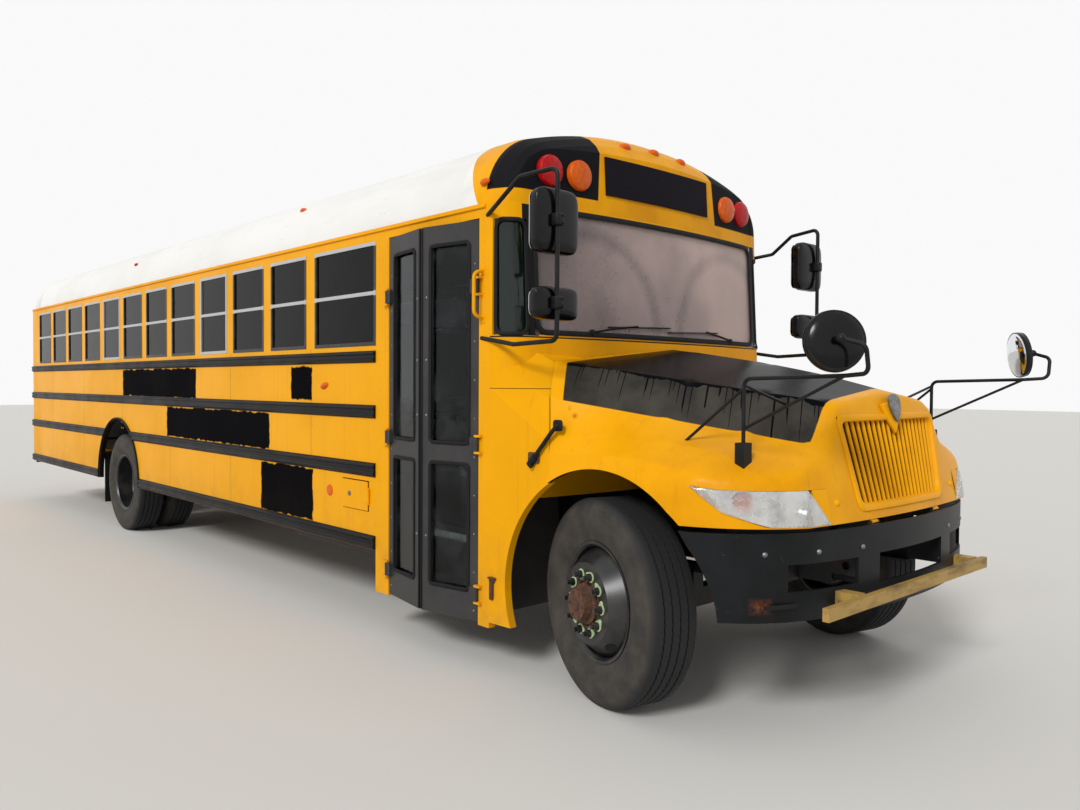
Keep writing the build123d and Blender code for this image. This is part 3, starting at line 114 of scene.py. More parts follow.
def run_line(points, bend, spacing):
    """Points every spacing along straight runs, each the average of its neighbours within a
    bend, so that every corner becomes a smooth curve and the ends stay where they are."""
    points = np.asarray(points, float)
    gone = np.append(0, np.cumsum(np.linalg.norm(np.diff(points, axis=0), axis=1)))
    count = max(int(gone[-1] / spacing), 6)
    at = np.linspace(0, gone[-1], count)
    line = np.stack([np.interp(at, gone, points[:, k]) for k in range(3)], -1)
    reach = min(max(int(bend / spacing), 1), count // 3)
    steps = np.arange(reach, 0, -1)[:, None]
    before = line[0] + (line[0] - line[1]) * steps
    after = line[-1] + (line[-1] - line[-2]) * steps[::-1]
    summed = np.cumsum(np.concatenate([line[:1] * 0, before, line, after]), axis=0)
    return (summed[2 * reach + 1 :] - summed[: -2 * reach - 1]) / (2 * reach + 1)


def carried(line, section):
    """A closed section of points (s, u) carried along a line: point = line + s * side + u * up,
    with side square to the plane that the line lies in, and both ends closed."""
    way = unit(np.gradient(line, axis=0))
    flat = np.linalg.svd(line - line.mean(0))[2][-1]
    up = unit(np.cross(way, flat))
    side = np.cross(up, way)
    section = np.asarray(section, float)
    across_line = section[:, 0, None] * side[:, None] + section[:, 1, None] * up[:, None]
    return capped(line[:, None] + across_line)


def round_section(radius, around=12, flat=1.0):
    """A circle, or with flat below one an ellipse, as a section."""
    angle = np.linspace(0, 2 * pi, around, endpoint=False)
    return np.stack([radius * np.cos(angle), radius * flat * np.sin(angle)], -1)


def tube(points, radius, bend=30.0, around=12, flat=1.0):
    """A round rod or flattened tube along runs with smooth bends."""
    line = run_line(points, bend, max(min(bend / 3, 12.0), 2.0))
    return carried(line, round_section(radius, around, flat))


def soft_box(low, high, edge, steps=3):
    """A box with round edges: the eight octants of a ball of radius edge, moved apart to the
    box's corners, with the grid's own faces stretched between them and a flat lid on each pole."""
    low, high = np.minimum(low, high), np.maximum(low, high)
    middle, half = (low + high) / 2, (high - low) / 2
    edge = min(edge, half.min() * 0.999)
    quarter = np.linspace(0, pi / 2, steps + 1)
    turn = (quarter + np.arange(4)[:, None] * pi / 2).ravel()
    way_x = np.repeat([1, -1, -1, 1], steps + 1)
    way_y = np.repeat([1, 1, -1, -1], steps + 1)
    rise = np.concatenate([quarter - pi / 2, quarter])[:, None]
    way_z = np.repeat([-1, 1], steps + 1)[:, None]
    ball = [
        edge * np.cos(rise) * np.cos(turn) + way_x * (half[0] - edge),
        edge * np.cos(rise) * np.sin(turn) + way_y * (half[1] - edge),
        edge * np.sin(rise) + way_z * (half[2] - edge) + 0 * turn,
    ]
    grid = np.stack(ball, -1)
    lids = np.zeros((2, 1, 3)) + [[[0, 0, -half[2]]], [[0, 0, half[2]]]]
    lids = np.repeat(lids, len(turn), 1)
    return middle + np.concatenate([lids[:1], grid, lids[1:]]), False, True


def plate(outline, origin, side, up, thickness, dish=0.0):
    """A flat plate of any outline seen whole from its middle: the outline stands off the plane
    of side and up by its thickness, and both faces close on their middle, raised by dish."""
    side, up = unit(side), unit(up)
    out = np.cross(side, up)
    flat = np.asarray(outline, float)
    ring = np.asarray(origin) + flat[:, :1] * side + flat[:, 1:] * up
    middle = np.repeat(ring.mean(0, keepdims=True), len(ring), 0)
    inner = middle * 0.15 + ring * 0.85
    rows = [
        middle, ring, ring + out * thickness * 0.7, inner + out * (thickness + dish * 0.3),
        middle + out * (thickness + dish),
    ]
    return np.stack(rows), False, True


def evenly(outline, count):
    """The same closed outline in even steps of the distance gone along it."""
    ring = np.concatenate([outline, outline[:1]])
    gone = np.append(0, np.cumsum(np.linalg.norm(np.diff(ring, axis=0), axis=1)))
    at = np.linspace(0, gone[-1], count, endpoint=False)
    return np.stack([np.interp(at, gone, ring[:, k]) for k in range(2)], -1)


def rectangle(wide, high, corner, steps, count):
    """Outline of a rectangle about its own middle, in count even steps: each quarter turn of
    radius corner is moved out to its corner of the rectangle."""
    quarter = np.linspace(0, pi / 2, steps)
    turn = (quarter + np.arange(4)[:, None] * pi / 2).ravel()
    way_x, way_y = np.repeat([1, -1, -1, 1], steps), np.repeat([1, 1, -1, -1], steps)
    x = way_x * (wide / 2 - corner) + corner * np.cos(turn)
    y = way_y * (high / 2 - corner) + corner * np.sin(turn)
    return evenly(np.stack([x, y], -1), count)


def circle_through(first, second, third):
    """The circle through three points in plan: its centre, where the lines that halve its chords
    meet, its radius, and the angles at which the first and the last point lie."""
    (ax, ay), (bx, by), (cx, cy) = first, second, third
    a2, b2, c2 = ax**2 + ay**2, bx**2 + by**2, cx**2 + cy**2
    d = 2 * (ax * (by - cy) + bx * (cy - ay) + cx * (ay - by))
    ux = (a2 * (by - cy) + b2 * (cy - ay) + c2 * (ay - by)) / d
    uy = (a2 * (cx - bx) + b2 * (ax - cx) + c2 * (bx - ax)) / d
    start, end = np.arctan2(ay - uy, ax - ux), np.arctan2(cy - uy, cx - ux)
    return ux, uy, np.hypot(ax - ux, ay - uy), start, end


def framed(outline, origin, side, up, wide, thick):
    """A closed border along an outline in the plane of side and up: a rectangle wide by thick
    carried round it, its outer edge on the outline. The outline is seen whole from its middle."""
    side, up = unit(side), unit(up)
    out = np.cross(side, up)
    flat = np.asarray(outline, float)
    inward = np.roll(flat, 1, 0) - np.roll(flat, -1, 0)
    inward = unit(np.stack([inward[:, 1], -inward[:, 0]], -1))
    inward = inward * np.sign((inward * (flat.mean(0) - flat)).sum(-1, keepdims=True))
    rows = [
        flat, flat, flat + inward * wide * 0.2, flat + inward * wide * 0.8, flat + inward * wide,
        flat + inward * wide,
    ]
    lift = np.array([0, 0.7, 1, 1, 0.7, 0]) * thick
    ring = np.stack([r[:, :1] * side + r[:, 1:] * up + k * out for r, k in zip(rows, lift)])
    return np.asarray(origin) + ring, True, True


def rivets(places, out, radius=6.5, height=2.6):
    """Low round heads, all of one shape: two rings and a crown, copied to each place."""
    out = unit(out)
    side, up = across(out)
    angle = np.linspace(0, 2 * pi, 7, endpoint=False)[:, None]
    ring = np.cos(angle) * side + np.sin(angle) * up
    shoulder = ring * radius * 0.7 + out * height * 0.8
    head = np.stack([ring * radius, shoulder, ring * 0 + out * height])
    return [(np.asarray(at) + head, False, True) for at in places]


def swung(sheet, angle, pin):
    """A sheet turned about an upright line through a pin."""
    grid, rows, columns = sheet
    turn = np.array(Matrix.Rotation(angle, 3, "Z"))
    return (grid - pin) @ turn.T + pin, rows, columns


def steered(sheet, side):
    """A front wheel's sheet turned about its kingpin to where the wheel stands."""
    return swung(sheet, steer_at_rest, np.array([0, side * kingpin_y, 0]))


def on_side(sheet, side):
    """A sheet of the left side, or the same on the right side."""
    grid, rows, columns = sheet
    return grid * [1, side, 1], rows, columns


def placed(name, data):
    """A new object in the scene."""
    made = bpy.data.objects.new(name, data)
    bpy.context.scene.collection.objects.link(made)
    return made


def finished(mesh, finish, body, sharp, stands_for):
    """The object of a mesh: smooth, with edges above sharp kept crisp, carried by its body."""
    mesh.polygons.foreach_set("use_smooth", np.ones(len(mesh.polygons), bool))
    mesh.set_sharp_from_angle(angle=radians(sharp))
    mesh.materials.append(finish)
    made = placed(mesh.name, mesh)
    if stands_for:
        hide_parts(*stands_for)
    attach(made, body)
    return made


def piece(name, sheets, finish, body, sharp=38.0, stands_for=()):
    """Makes one object from sheets of points in the work frame. The grid's faces are numbered
    as whole arrays, doubles are merged and faces turned outwards."""
    points, faces, start = [], [], 0
    for grid, round_rows, round_columns in sheets:
        rows, columns = grid.shape[:2]
        i, j = np.meshgrid(
            np.arange(rows if round_rows else rows - 1),
            np.arange(columns if round_columns else columns - 1),
            indexing="ij",
        )
        after_i, after_j = (i + 1) % rows, (j + 1) % columns
        corners = [(i, j), (after_i, j), (after_i, after_j), (i, after_j)]
        corners = np.stack([row * columns + column for row, column in corners], -1)
        faces.append(start + corners.reshape(-1, 4))
        points.append(grid.reshape(-1, 3))
        start += rows * columns
    stored = np.concatenate(points) / 1000 + [axle_x, 0, 0]
    mesh = bpy.data.meshes.new(name)
    mesh.from_pydata(stored.tolist(), [], np.concatenate(faces).tolist())
    soup = bmesh.new()
    soup.from_mesh(mesh)
    bmesh.ops.remove_doubles(soup, verts=soup.verts, dist=2e-5)
    bmesh.ops.dissolve_degenerate(soup, edges=soup.edges, dist=1e-6)
    bmesh.ops.recalc_face_normals(soup, faces=soup.faces)
    soup.to_mesh(mesh)
    soup.free()
    return finished(mesh, finish, body, sharp, stands_for)


# Finishes
def linear(code):
    """An sRGB hex colour as linear values."""
    value = np.array([int(code[k : k + 2], 16) for k in (0, 2, 4)]) / 255
    value = np.where(value <= 0.04045, value / 12.92, ((value + 0.055) / 1.055) ** 2.4)
    return (*value.tolist(), 1.0)


def add_node(tree, kind, sockets, out=0, **settings):
    """Adds one node with its settings; each named socket gets a value or another node's output."""
    made = tree.nodes.new("ShaderNode" + kind)
    for key, value in settings.items():
        setattr(made, key, value)
    for key, value in sockets.items():
        if isinstance(value, bpy.types.NodeSocket):
            tree.links.new(value, made.inputs[key])
        else:
            made.inputs[key].default_value = value
    return made.outputs[out] if made.outputs else made


def begin(name):
    """A new finish: its node tree, and the place of a surface point in work-frame millimetres."""
    made = bpy.data.materials.new(name)
    made.use_nodes = True
    tree = made.node_tree
    tree.nodes.clear()
    seat = add_node(tree, "TexCoord", {}, "Object")
    moved = {"Vector": seat, "Location": (-axle_x * 1000, 0, 0), "Scale": (1000, 1000, 1000)}
    return made, tree, add_node(tree, "Mapping", moved)


def surface(tree, **sockets):
    """The finish's shader, with its sockets named with _ for a space."""
    named = {key.replace("_", " "): value for key, value in sockets.items()}
    shader = add_node(tree, "BsdfPrincipled", named)
    add_node(tree, "OutputMaterial", {"Surface": shader})


def cloud(tree, place, size, low, high, stretch=(1, 1, 1), detail=4.0):
    """Cloudy cover from 0 to 1: noise with patches of a size in millimetres, between two levels."""
    spread = add_node(tree, "VectorMath", {0: place, 1: stretch}, operation="MULTIPLY")
    noise = add_node(
        tree, "TexNoise", {"Vector": spread, "Scale": 1 / size, "Detail": detail, "Roughness": 0.6}
    )
    return add_node(tree, "MapRange", {"Value": noise, "From Min": low, "From Max": high})


def over(tree, under, top, cover):
    """One colour laid over another by a cover from 0 to 1."""
    return add_node(tree, "Mix", {0: cover, 6: under, 7: top}, 2, data_type="RGBA")


def within(tree, place, low, high, soft):
    """Cover of a box between two corners: the largest of the three distances past its faces, as 1
    inside, fading over soft millimetres at its faces, to 0."""
    low, high = np.array(low, float), np.array(high, float)
    off = add_node(tree, "VectorMath", {0: place, 1: tuple((low + high) / 2)}, operation="SUBTRACT")
    size = add_node(tree, "VectorMath", {0: off}, operation="ABSOLUTE")
    past = add_node(tree, "VectorMath", {0: size, 1: tuple((high - low) / 2)}, operation="SUBTRACT")
    x, y, z = add_node(tree, "SeparateXYZ", {0: past}, slice(None))
    most = add_node(tree, "Math", {0: x, 1: y}, operation="MAXIMUM")
    most = add_node(tree, "Math", {0: most, 1: z}, operation="MAXIMUM")
    return add_node(tree, "MapRange", {"Value": most, "From Min": soft, "From Max": -soft})


def grain(tree, place, size, depth, stretch=(1, 1, 1), detail=3.0):
    """Bump of a grain whose size and depth are in millimetres."""
    height = cloud(tree, place, size, 0.2, 0.8, stretch, detail)
    return add_node(tree, "Bump", {"Height": height, "Distance": depth / 1000, "Strength": 0.6})


yellow = linear("f4aa02")
yellow_shade = linear("dd9302")
cabin_paint = linear("b9bcb0")


def enamel(name, marks=(), rough=0.32, lined=False):
    """School-bus enamel, sprayed and baked on sheet steel: a glossy, even coat that has dulled in
    cloudy patches, with brown road film that thickens towards the skirt and runs in thin streaks.
    marks are (low corner, high corner, hex, fade): with a fade over coarse they are rolled paint
    with a wandering edge, and else straight seams. A lined panel has the cabin's colour inside
    and dark edges round the rear wheel arches."""
    grime, coarse = 0.35, 1.5
    made, tree, place = begin(name)
    shade = cloud(tree, place, 900, 0.4, 0.75)
    tone = over(tree, yellow, tuple(c * 0.86 for c in yellow[:3]) + (1,), shade)
    wander = add_node(tree, "TexNoise", {"Vector": place, "Scale": 1 / 90, "Detail": 3.0}, 1)
    wander = add_node(tree, "VectorMath", {0: wander, 1: (0.5, 0.5, 0.5)}, operation="SUBTRACT")
    wander = add_node(tree, "VectorMath", {0: wander, "Scale": 48.0}, operation="SCALE")
    shaken = add_node(tree, "VectorMath", {0: place, 1: wander}, operation="ADD")
    painted = None
    for low, high, code, fade in marks:
        cover = within(tree, shaken if fade > coarse else place, low, high, fade)
        tone = over(tree, tone, linear(code), cover)
        if fade > coarse and painted is None:
            painted = cover
        elif fade > coarse:
            painted = add_node(tree, "Math", {0: painted, 1: cover}, operation="MAXIMUM")
    streak = cloud(tree, place, 34, 0.58, 0.8, (1, 1, 0.03), 2.0)
    streak = add_node(tree, "Math", {0: streak, 1: grime * 0.35}, operation="MULTIPLY")
    bare = 1.0
    if painted is not None:
        bare = add_node(tree, "Math", {0: painted, 1: -0.8, 2: 1.0}, operation="MULTIPLY_ADD")
    streak = add_node(tree, "Math", {0: streak, 1: bare}, operation="MULTIPLY")
    tone = over(tree, tone, linear("6e4a1c"), streak)
    height = add_node(tree, "SeparateXYZ", {0: place}, 2)
    skirt = {"Value": height, "From Min": 900.0, "From Max": 330.0, "To Max": grime}
    low = add_node(tree, "MapRange", skirt)
    film = add_node(
        tree, "Math", {0: low, 1: cloud(tree, place, 160, 0.3, 0.75)}, operation="MULTIPLY"
    )
    film = add_node(tree, "Math", {0: film, 1: bare}, operation="MULTIPLY")
    tone = over(tree, tone, linear("6b5a42"), film)
    gloss = add_node(tree, "MapRange", {"Value": shade, "To Min": rough, "To Max": rough + 0.16})
    shine = 0.1
    if painted is not None:
        gloss = add_node(tree, "Math", {0: painted, 1: 0.3, 2: gloss}, operation="MULTIPLY_ADD")
        shine = add_node(tree, "Math", {0: painted, 1: -0.09, 2: 0.1}, operation="MULTIPLY_ADD")
    if lined:
        sideways = add_node(tree, "SeparateXYZ", {0: add_node(tree, "TexCoord", {}, "Normal")}, 1)
        y = add_node(tree, "SeparateXYZ", {0: place}, 1)
        inward = add_node(tree, "Math", {0: sideways, 1: y}, operation="MULTIPLY")
        inward = add_node(tree, "Math", {0: inward, 1: -120.0}, operation="LESS_THAN")
        raised = add_node(tree, "Math", {0: height, 1: floor_z}, operation="GREATER_THAN")
        inward = add_node(tree, "Math", {0: inward, 1: raised}, operation="MULTIPLY")
        tone = over(tree, tone, cabin_paint, inward)
        edgewise = add_node(tree, "Math", {0: sideways}, operation="ABSOLUTE")
        edgewise = add_node(tree, "Math", {0: edgewise, 1: 0.5}, operation="LESS_THAN")
        arch = within(tree, place, (-7710, -1300, 0), (-6370, 1300, 1200), 1.0)
        arch = add_node(tree, "Math", {0: edgewise, 1: arch}, operation="MULTIPLY")
        tone = over(tree, tone, linear("141210"), arch)
    ripple = grain(tree, place, 420, 1.2, (1, 1, 1), 1.0)
    surface(tree, Base_Color=tone, Roughness=gloss, Normal=ripple, Specular_IOR_Level=shine)
    return made


def plain(name, colour, second, size, rough, spread=(0.35, 0.7), depth=0.2, stretch=(1, 1, 1),
          metal=0.0, shine=0.5):
    """A finish of one material with a second tone in cloudy patches of a size in millimetres, and
    a grain that is depth millimetres deep."""
    made, tree, place = begin(name)
    cover = cloud(tree, place, size, *spread, stretch)
    tone = over(tree, linear(colour), linear(second), cover)
    gloss = add_node(tree, "MapRange", {"Value": cover, "To Min": rough[0], "To Max": rough[1]})
    bump = grain(tree, place, size / 6, depth, stretch)
    surface(
        tree, Base_Color=tone, Roughness=gloss, Metallic=metal, Normal=bump,
        Specular_IOR_Level=shine,
    )
    return made


def seam_x(step):
    """Rear edge of a panel seam of the side walls."""
    return first_seam_x - step * 2 * window_pitch


# Thin seams every other window, and patches of dull black paint rolled on later, whose edges
# wander; they are on the right side only
side_marks = [
    ((seam_x(k), -1300, 520), (seam_x(k) + 4, 1300, 1820), "8a5f0c", 1.0) for k in range(8)
]
side_marks += [
    ((start, -1260, low), (end, -1190, high), "0b0a0d", 5.0)
    for start, end, low, high in (
        (-6870, -4890, 1440, 1710), (-5600, -3450, 1075, 1355), (-3090, -2773, 1465, 1700),
        (-3590, -2759, 605, 975),
    )
]
# Black round the corner glass, a joint under the windshield and the seam over the fender
cowl_marks = [
    ((-760, -1096, 1846), (-400, -1012, 2560), "141416", 1.0),
    ((-760, 1012, 1846), (-400, 1096, 2560), "141416", 1.0),
    ((-1000, -1300, 1836), (-300, 1300, 1844), "1c1a18", 1.0),
    ((-800, -1300, 1558), (-380, -1100, 1562), "4a3410", 1.0),
    ((-800, 1100, 1558), (-380, 1300, 1562), "4a3410", 1.0),
]
side_enamel = enamel("yellow_enamel_side_panels", side_marks, lined=True)
cowl_enamel = enamel("yellow_enamel_cowl", cowl_marks, lined=True)
rear_enamel = enamel("yellow_enamel_rear")
plain_enamel = enamel("yellow_enamel_small_parts", rough=0.36)


def roof_paint(name):
    """White heat-reflecting roof paint over steel: chalky white with faint grey washes, long
    streaks of dust along its length, and the pale cabin colour underneath."""
    made, tree, place = begin(name)
    tone = over(tree, linear("f0efec"), linear("e2e1db"), cloud(tree, place, 1500, 0.45, 0.8))
    wash = cloud(tree, place, 120, 0.55, 0.8, (0.2, 1, 1), 3.0)
    wash = add_node(tree, "Math", {0: wash, 1: 0.16}, operation="MULTIPLY")
    tone = over(tree, tone, linear("b7b2a4"), wash)
    facing = add_node(tree, "TexCoord", {}, "Normal")
    down = add_node(tree, "SeparateXYZ", {0: facing}, 2)
    under = add_node(tree, "Math", {0: down, 1: -0.05}, operation="LESS_THAN")
    tone = over(tree, tone, cabin_paint, under)
    surface(tree, Base_Color=tone, Roughness=0.5, Normal=grain(tree, place, 300, 1.0, detail=1.0))
    return made


white_roof = roof_paint("white_roof_paint")


def cap_paint(name):
    """Moulded roof caps: white paint behind a leaning line, yellow in front of it, and a dull
    black field round each pair of warning lamps, so the lamps stand out."""
    made, tree, place = begin(name)
    x, y, z = add_node(tree, "SeparateXYZ", {0: place}, slice(None))
    lean = add_node(tree, "Math", {0: z, 1: 0.527, 2: -454.0}, operation="MULTIPLY_ADD")
    ahead = add_node(tree, "Math", {0: x, 1: lean}, operation="ADD")
    front = add_node(tree, "MapRange", {"Value": ahead, "From Min": -2.0, "From Max": 2.0})
    tail = {"Value": x, "From Min": rear_x + 152, "From Max": rear_x + 148}
    tail = add_node(tree, "MapRange", tail)
    gold = add_node(tree, "Math", {0: front, 1: tail}, operation="MAXIMUM")
    tone = over(tree, linear("efeeea"), linear("d2d0c8"), cloud(tree, place, 500, 0.5, 0.8))
    sun_worn = over(tree, yellow, yellow_shade, cloud(tree, place, 420, 0.4, 0.7))
    tone = over(tree, tone, sun_worn, gold)
    wide = add_node(tree, "Math", {0: y}, operation="ABSOLUTE")
    lean_y = add_node(tree, "Math", {0: z, 1: -0.09, 2: 797.0}, operation="MULTIPLY_ADD")
    off = add_node(tree, "Math", {0: wide, 1: lean_y}, operation="SUBTRACT")
    pod = add_node(tree, "MapRange", {"Value": off, "From Min": -2.0, "From Max": 2.0})
    above = add_node(tree, "MapRange", {"Value": z, "From Min": 2640.0, "From Max": 2644.0})
    near = add_node(tree, "MapRange", {"Value": x, "From Min": -842.0, "From Max": -838.0})
    pod = add_node(tree, "Math", {0: pod, 1: above}, operation="MULTIPLY")
    pod_front = add_node(tree, "Math", {0: pod, 1: near}, operation="MULTIPLY")
    tone = over(tree, tone, linear("0b0a0e"), pod_front)
    for side in both_sides:
        low_y, high_y = sorted((side * 545, side * 1010))
        box = within(tree, place, (rear_x - 20, low_y, 2590), (rear_x + 60, high_y, 2795), 2.0)
        tone = over(tree, tone, linear("0b0a0e"), box)
    facing = add_node(tree, "TexCoord", {}, "Normal")
    down = add_node(tree, "SeparateXYZ", {0: facing}, 2)
    under = add_node(tree, "Math", {0: down, 1: -0.3}, operation="LESS_THAN")
    tone = over(tree, tone, cabin_paint, under)
    gloss = add_node(tree, "MapRange", {"Value": pod_front, "To Min": 0.42, "To Max": 0.7})
    surface(
        tree, Base_Color=tone, Roughness=gloss, Specular_IOR_Level=0.12,
        Normal=grain(tree, place, 260, 0.8, detail=1.0),
    )
    return made


cap_enamel = cap_paint("white_and_yellow_cap_paint")


def hood_paint(name):
    """Tilting hood: yellow fenders and nose, the flat top rolled with black gloss paint that ran
    down over the dark grey side panels in thin drips. The panels' grey is partly a painted sheen of
    sun on black paint; faces turned downward have painted shade."""
    made, tree, place = begin(name)
    x, y, z = add_node(tree, "SeparateXYZ", {0: place}, slice(None))
    wide = add_node(tree, "Math", {0: y}, operation="ABSOLUTE")
    crease = add_node(tree, "Math", {0: x, 1: -0.4534, 2: 971.8}, operation="MULTIPLY_ADD")
    ridge = add_node(tree, "Math", {0: x, 1: -0.3872, 2: 791.7}, operation="MULTIPLY_ADD")
    tone = over(tree, yellow, yellow_shade, cloud(tree, place, 500, 0.4, 0.75))
    streak = cloud(tree, place, 26, 0.6, 0.82, (1, 0.6, 0.04), 2.0)
    streak = add_node(tree, "Math", {0: streak, 1: 0.16}, operation="MULTIPLY")
    tone = over(tree, tone, linear("7a4f12"), streak)
    # Bounds of the painted area, front and back
    ahead = add_node(tree, "MapRange", {"Value": x, "From Min": 786.0, "From Max": 782.0})
    line = add_node(tree, "Math", {0: z, 1: -0.632, 2: 626.0}, operation="MULTIPLY_ADD")
    behind = add_node(tree, "Math", {0: x, 1: line}, operation="SUBTRACT")
    behind = add_node(tree, "MapRange", {"Value": behind, "From Min": -2.0, "From Max": 2.0})
    field = add_node(tree, "Math", {0: ahead, 1: behind}, operation="MULTIPLY")
    inside_crease = add_node(tree, "Math", {0: crease, 1: wide}, operation="SUBTRACT")
    inside_crease = add_node(
        tree, "MapRange", {"Value": inside_crease, "From Min": -1.0, "From Max": 3.0}
    )
    panel = add_node(tree, "Math", {0: field, 1: inside_crease}, operation="MULTIPLY")
    # The side panels' dark grey is partly their own paint and partly a painted sheen of sun
    # glancing off black paint
    grey_and_painted_sheen = over(tree, linear("2b2926"), linear("4b4842"), cloud(tree, place, 340, 0.35, 0.7))
    tone = over(tree, tone, grey_and_painted_sheen, panel)
    # Black above the ridge, with an edge that wanders and drips along narrow bands of x
    past = add_node(tree, "Math", {0: wide, 1: ridge}, operation="SUBTRACT")
    blot = add_node(tree, "TexNoise", {"Vector": place, "Scale": 1 / 130, "Detail": 4.0})
    blot = add_node(tree, "Math", {0: blot, 1: 80.0, 2: -30.0}, operation="MULTIPLY_ADD")
    fall = add_node(tree, "Math", {0: wide, 1: -0.45, 2: x}, operation="MULTIPLY_ADD")
    flat = add_node(tree, "CombineXYZ", {0: fall})
    reach = add_node(tree, "TexNoise", {"Vector": flat, "Scale": 1 / 55, "Detail": 0.0})
    reach = add_node(
        tree, "MapRange", {"Value": reach, "From Min": 0.34, "From Max": 0.66, "To Max": 170.0}
    )
    thread = add_node(tree, "TexNoise", {"Vector": flat, "Scale": 1 / 17, "Detail": 0.0})
    thread = add_node(tree, "MapRange", {"Value": thread, "From Min": 0.6, "From Max": 0.64})
    drip = add_node(tree, "Math", {0: thread, 1: reach}, operation="MULTIPLY")
    edge = add_node(tree, "Math", {0: blot, 1: drip}, operation="ADD")
    black = add_node(tree, "Math", {0: edge, 1: past}, operation="SUBTRACT")
    black = add_node(tree, "MapRange", {"Value": black, "From Min": -1.5, "From Max": 1.5})
    black = add_node(tree, "Math", {0: black, 1: panel}, operation="MULTIPLY")
    tone = over(tree, tone, linear("040507"), black)
    # Faces turned downward, on the rims and inside the hood, are painted dark brown grey: painted
    # shade
    facing = add_node(tree, "SeparateXYZ", {0: add_node(tree, "TexCoord", {}, "Normal")}, 2)
    under = add_node(tree, "Math", {0: facing, 1: -0.1}, operation="LESS_THAN")
    tone = over(tree, tone, linear("26241f"), under)
    gloss = add_node(tree, "MapRange", {"Value": black, "To Min": 0.36, "To Max": 0.26})
    shine = add_node(tree, "MapRange", {"Value": panel, "To Min": 0.12, "To Max": 0.04})
    bump = grain(tree, place, 90, 0.5, detail=1.0)
    surface(tree, Base_Color=tone, Roughness=gloss, Normal=bump, Specular_IOR_Level=shine)
    return made


hood_enamel = hood_paint("yellow_hood_with_black_overpaint")


def grille_paint(name):
    """Yellow enamel on the faces of the moulded grille bars, with painted shade, dark brown, in
    the slots between them, deeper than 14 mm behind the nose's face."""
    made, tree, place = begin(name)
    x, y, z = add_node(tree, "SeparateXYZ", {0: place}, slice(None))
    bow = add_node(tree, "Math", {0: y, 1: y}, operation="MULTIPLY")
    upright = nose_front + 1000 * nose_lean
    face = add_node(tree, "Math", {0: z, 1: -nose_lean, 2: upright}, operation="MULTIPLY_ADD")
    face = add_node(tree, "Math", {0: bow, 1: -nose_bow, 2: face}, operation="MULTIPLY_ADD")
    deep = add_node(tree, "Math", {0: face, 1: x}, operation="SUBTRACT")
    # Points deeper than 14 mm behind the face are painted dark brown: painted shade between the
    # bars
    slot = add_node(tree, "MapRange", {"Value": deep, "From Min": 14.0, "From Max": 24.0})
    tone = over(tree, yellow, yellow_shade, cloud(tree, place, 200, 0.4, 0.75))
    tone = over(tree, tone, linear("2a1c08"), slot)
    surface(
        tree, Base_Color=tone, Roughness=0.36, Specular_IOR_Level=0.15,
        Normal=grain(tree, place, 40, 0.2),
    )
    return made


grille_enamel = grille_paint("yellow_enamel_grille_painted_slot_shade")

# Black and dark parts. Rubber and plastic are dull with a dusty bloom; chassis paint is soft black
# with rust coming through; the bumper's paint has chalked to a blue grey.
rub_rail_black = plain(
    "black_enamel_rails", "08080a", "161517", 260, (0.34, 0.5), depth=0.3, shine=0.15
)
door_grey = plain(
    "dark_grey_door_enamel", "2f2f31", "3f3d3c", 240, (0.42, 0.6), depth=0.2, shine=0.3
)
chassis_black = plain(
    "chassis_paint_rusting", "141415", "4a2f1f", 130, (0.6, 0.85), spread=(0.52, 0.75), depth=0.6
)
black_plastic = plain(
    "moulded_black_plastic", "111214", "1f1f20", 60, (0.4, 0.55), depth=0.15, shine=0.2
)
mirror_shell = plain(
    "glossy_black_mirror_shell", "040405", "0d0e10", 120, (0.12, 0.26), depth=0.1, shine=0.25
)
window_rubber = plain("window_rubber", "08080a", "141314", 40, (0.6, 0.75), depth=0.3, shine=0.25)
# Metals: drawn aluminium shines in long streaks, zinc plating is dull, cast steel rough with rust
bright_aluminium = plain(
    "anodised_aluminium", "c9ccce", "9a9c9c", 70, (
        0.3, 0.45), metal=1.0, depth=0.1, stretch=(0.1, 1, 1
    )
)
bare_steel = plain("zinc_plated_steel", "8f9190", "6d6a66", 30, (0.35, 0.6), metal=1.0, depth=0.1)
rusty_steel = plain(
    "rusted_cast_steel", "3a2c25", "6a432b", 14, (0.75, 0.95), metal=0.15, depth=0.8
)
# Yellow paint darkened to tan by painted shade, with weathered patches; matt floor rubber, vinyl
# with a soft sheen, rough woven cloth and moulded plastics
yellow_bar_painted_shade = plain(
    "yellow_crossing_bar_in_painted_shade", "b08d45", "6d5632", 60, (0.5, 0.75), spread=(0.45, 0.7),
    depth=0.5, stretch=(1, 0.25, 1),
)
floor_rubber = plain("black_floor_rubber", "1e1e1f", "34322f", 180, (0.6, 0.8), depth=0.6)
green_vinyl = plain("seat_vinyl_dark_green", "39473f", "4c5a4f", 90, (0.4, 0.55), depth=0.5)
driver_cloth = plain("driver_seat_woven_cloth", "2f3236", "45484b", 6, (0.8, 0.95), depth=0.8)
pale_green = plain("pale_green_nut_indicator", "c3d9a5", "8fa37c", 18, (0.5, 0.7), depth=0.1)
nosing_white = plain("white_step_nosing", "dfe2dd", "a9aba3", 40, (0.45, 0.6), depth=0.3)
hatch_white = plain("white_moulded_hatch", "e9e8e3", "dcdad3", 300, (0.4, 0.55), depth=0.3)
matt_black_sign = plain(
    "matt_black_sign_face", "0c0a10", "1c1620", 60, (0.7, 0.85), depth=0.3, shine=0.12
)


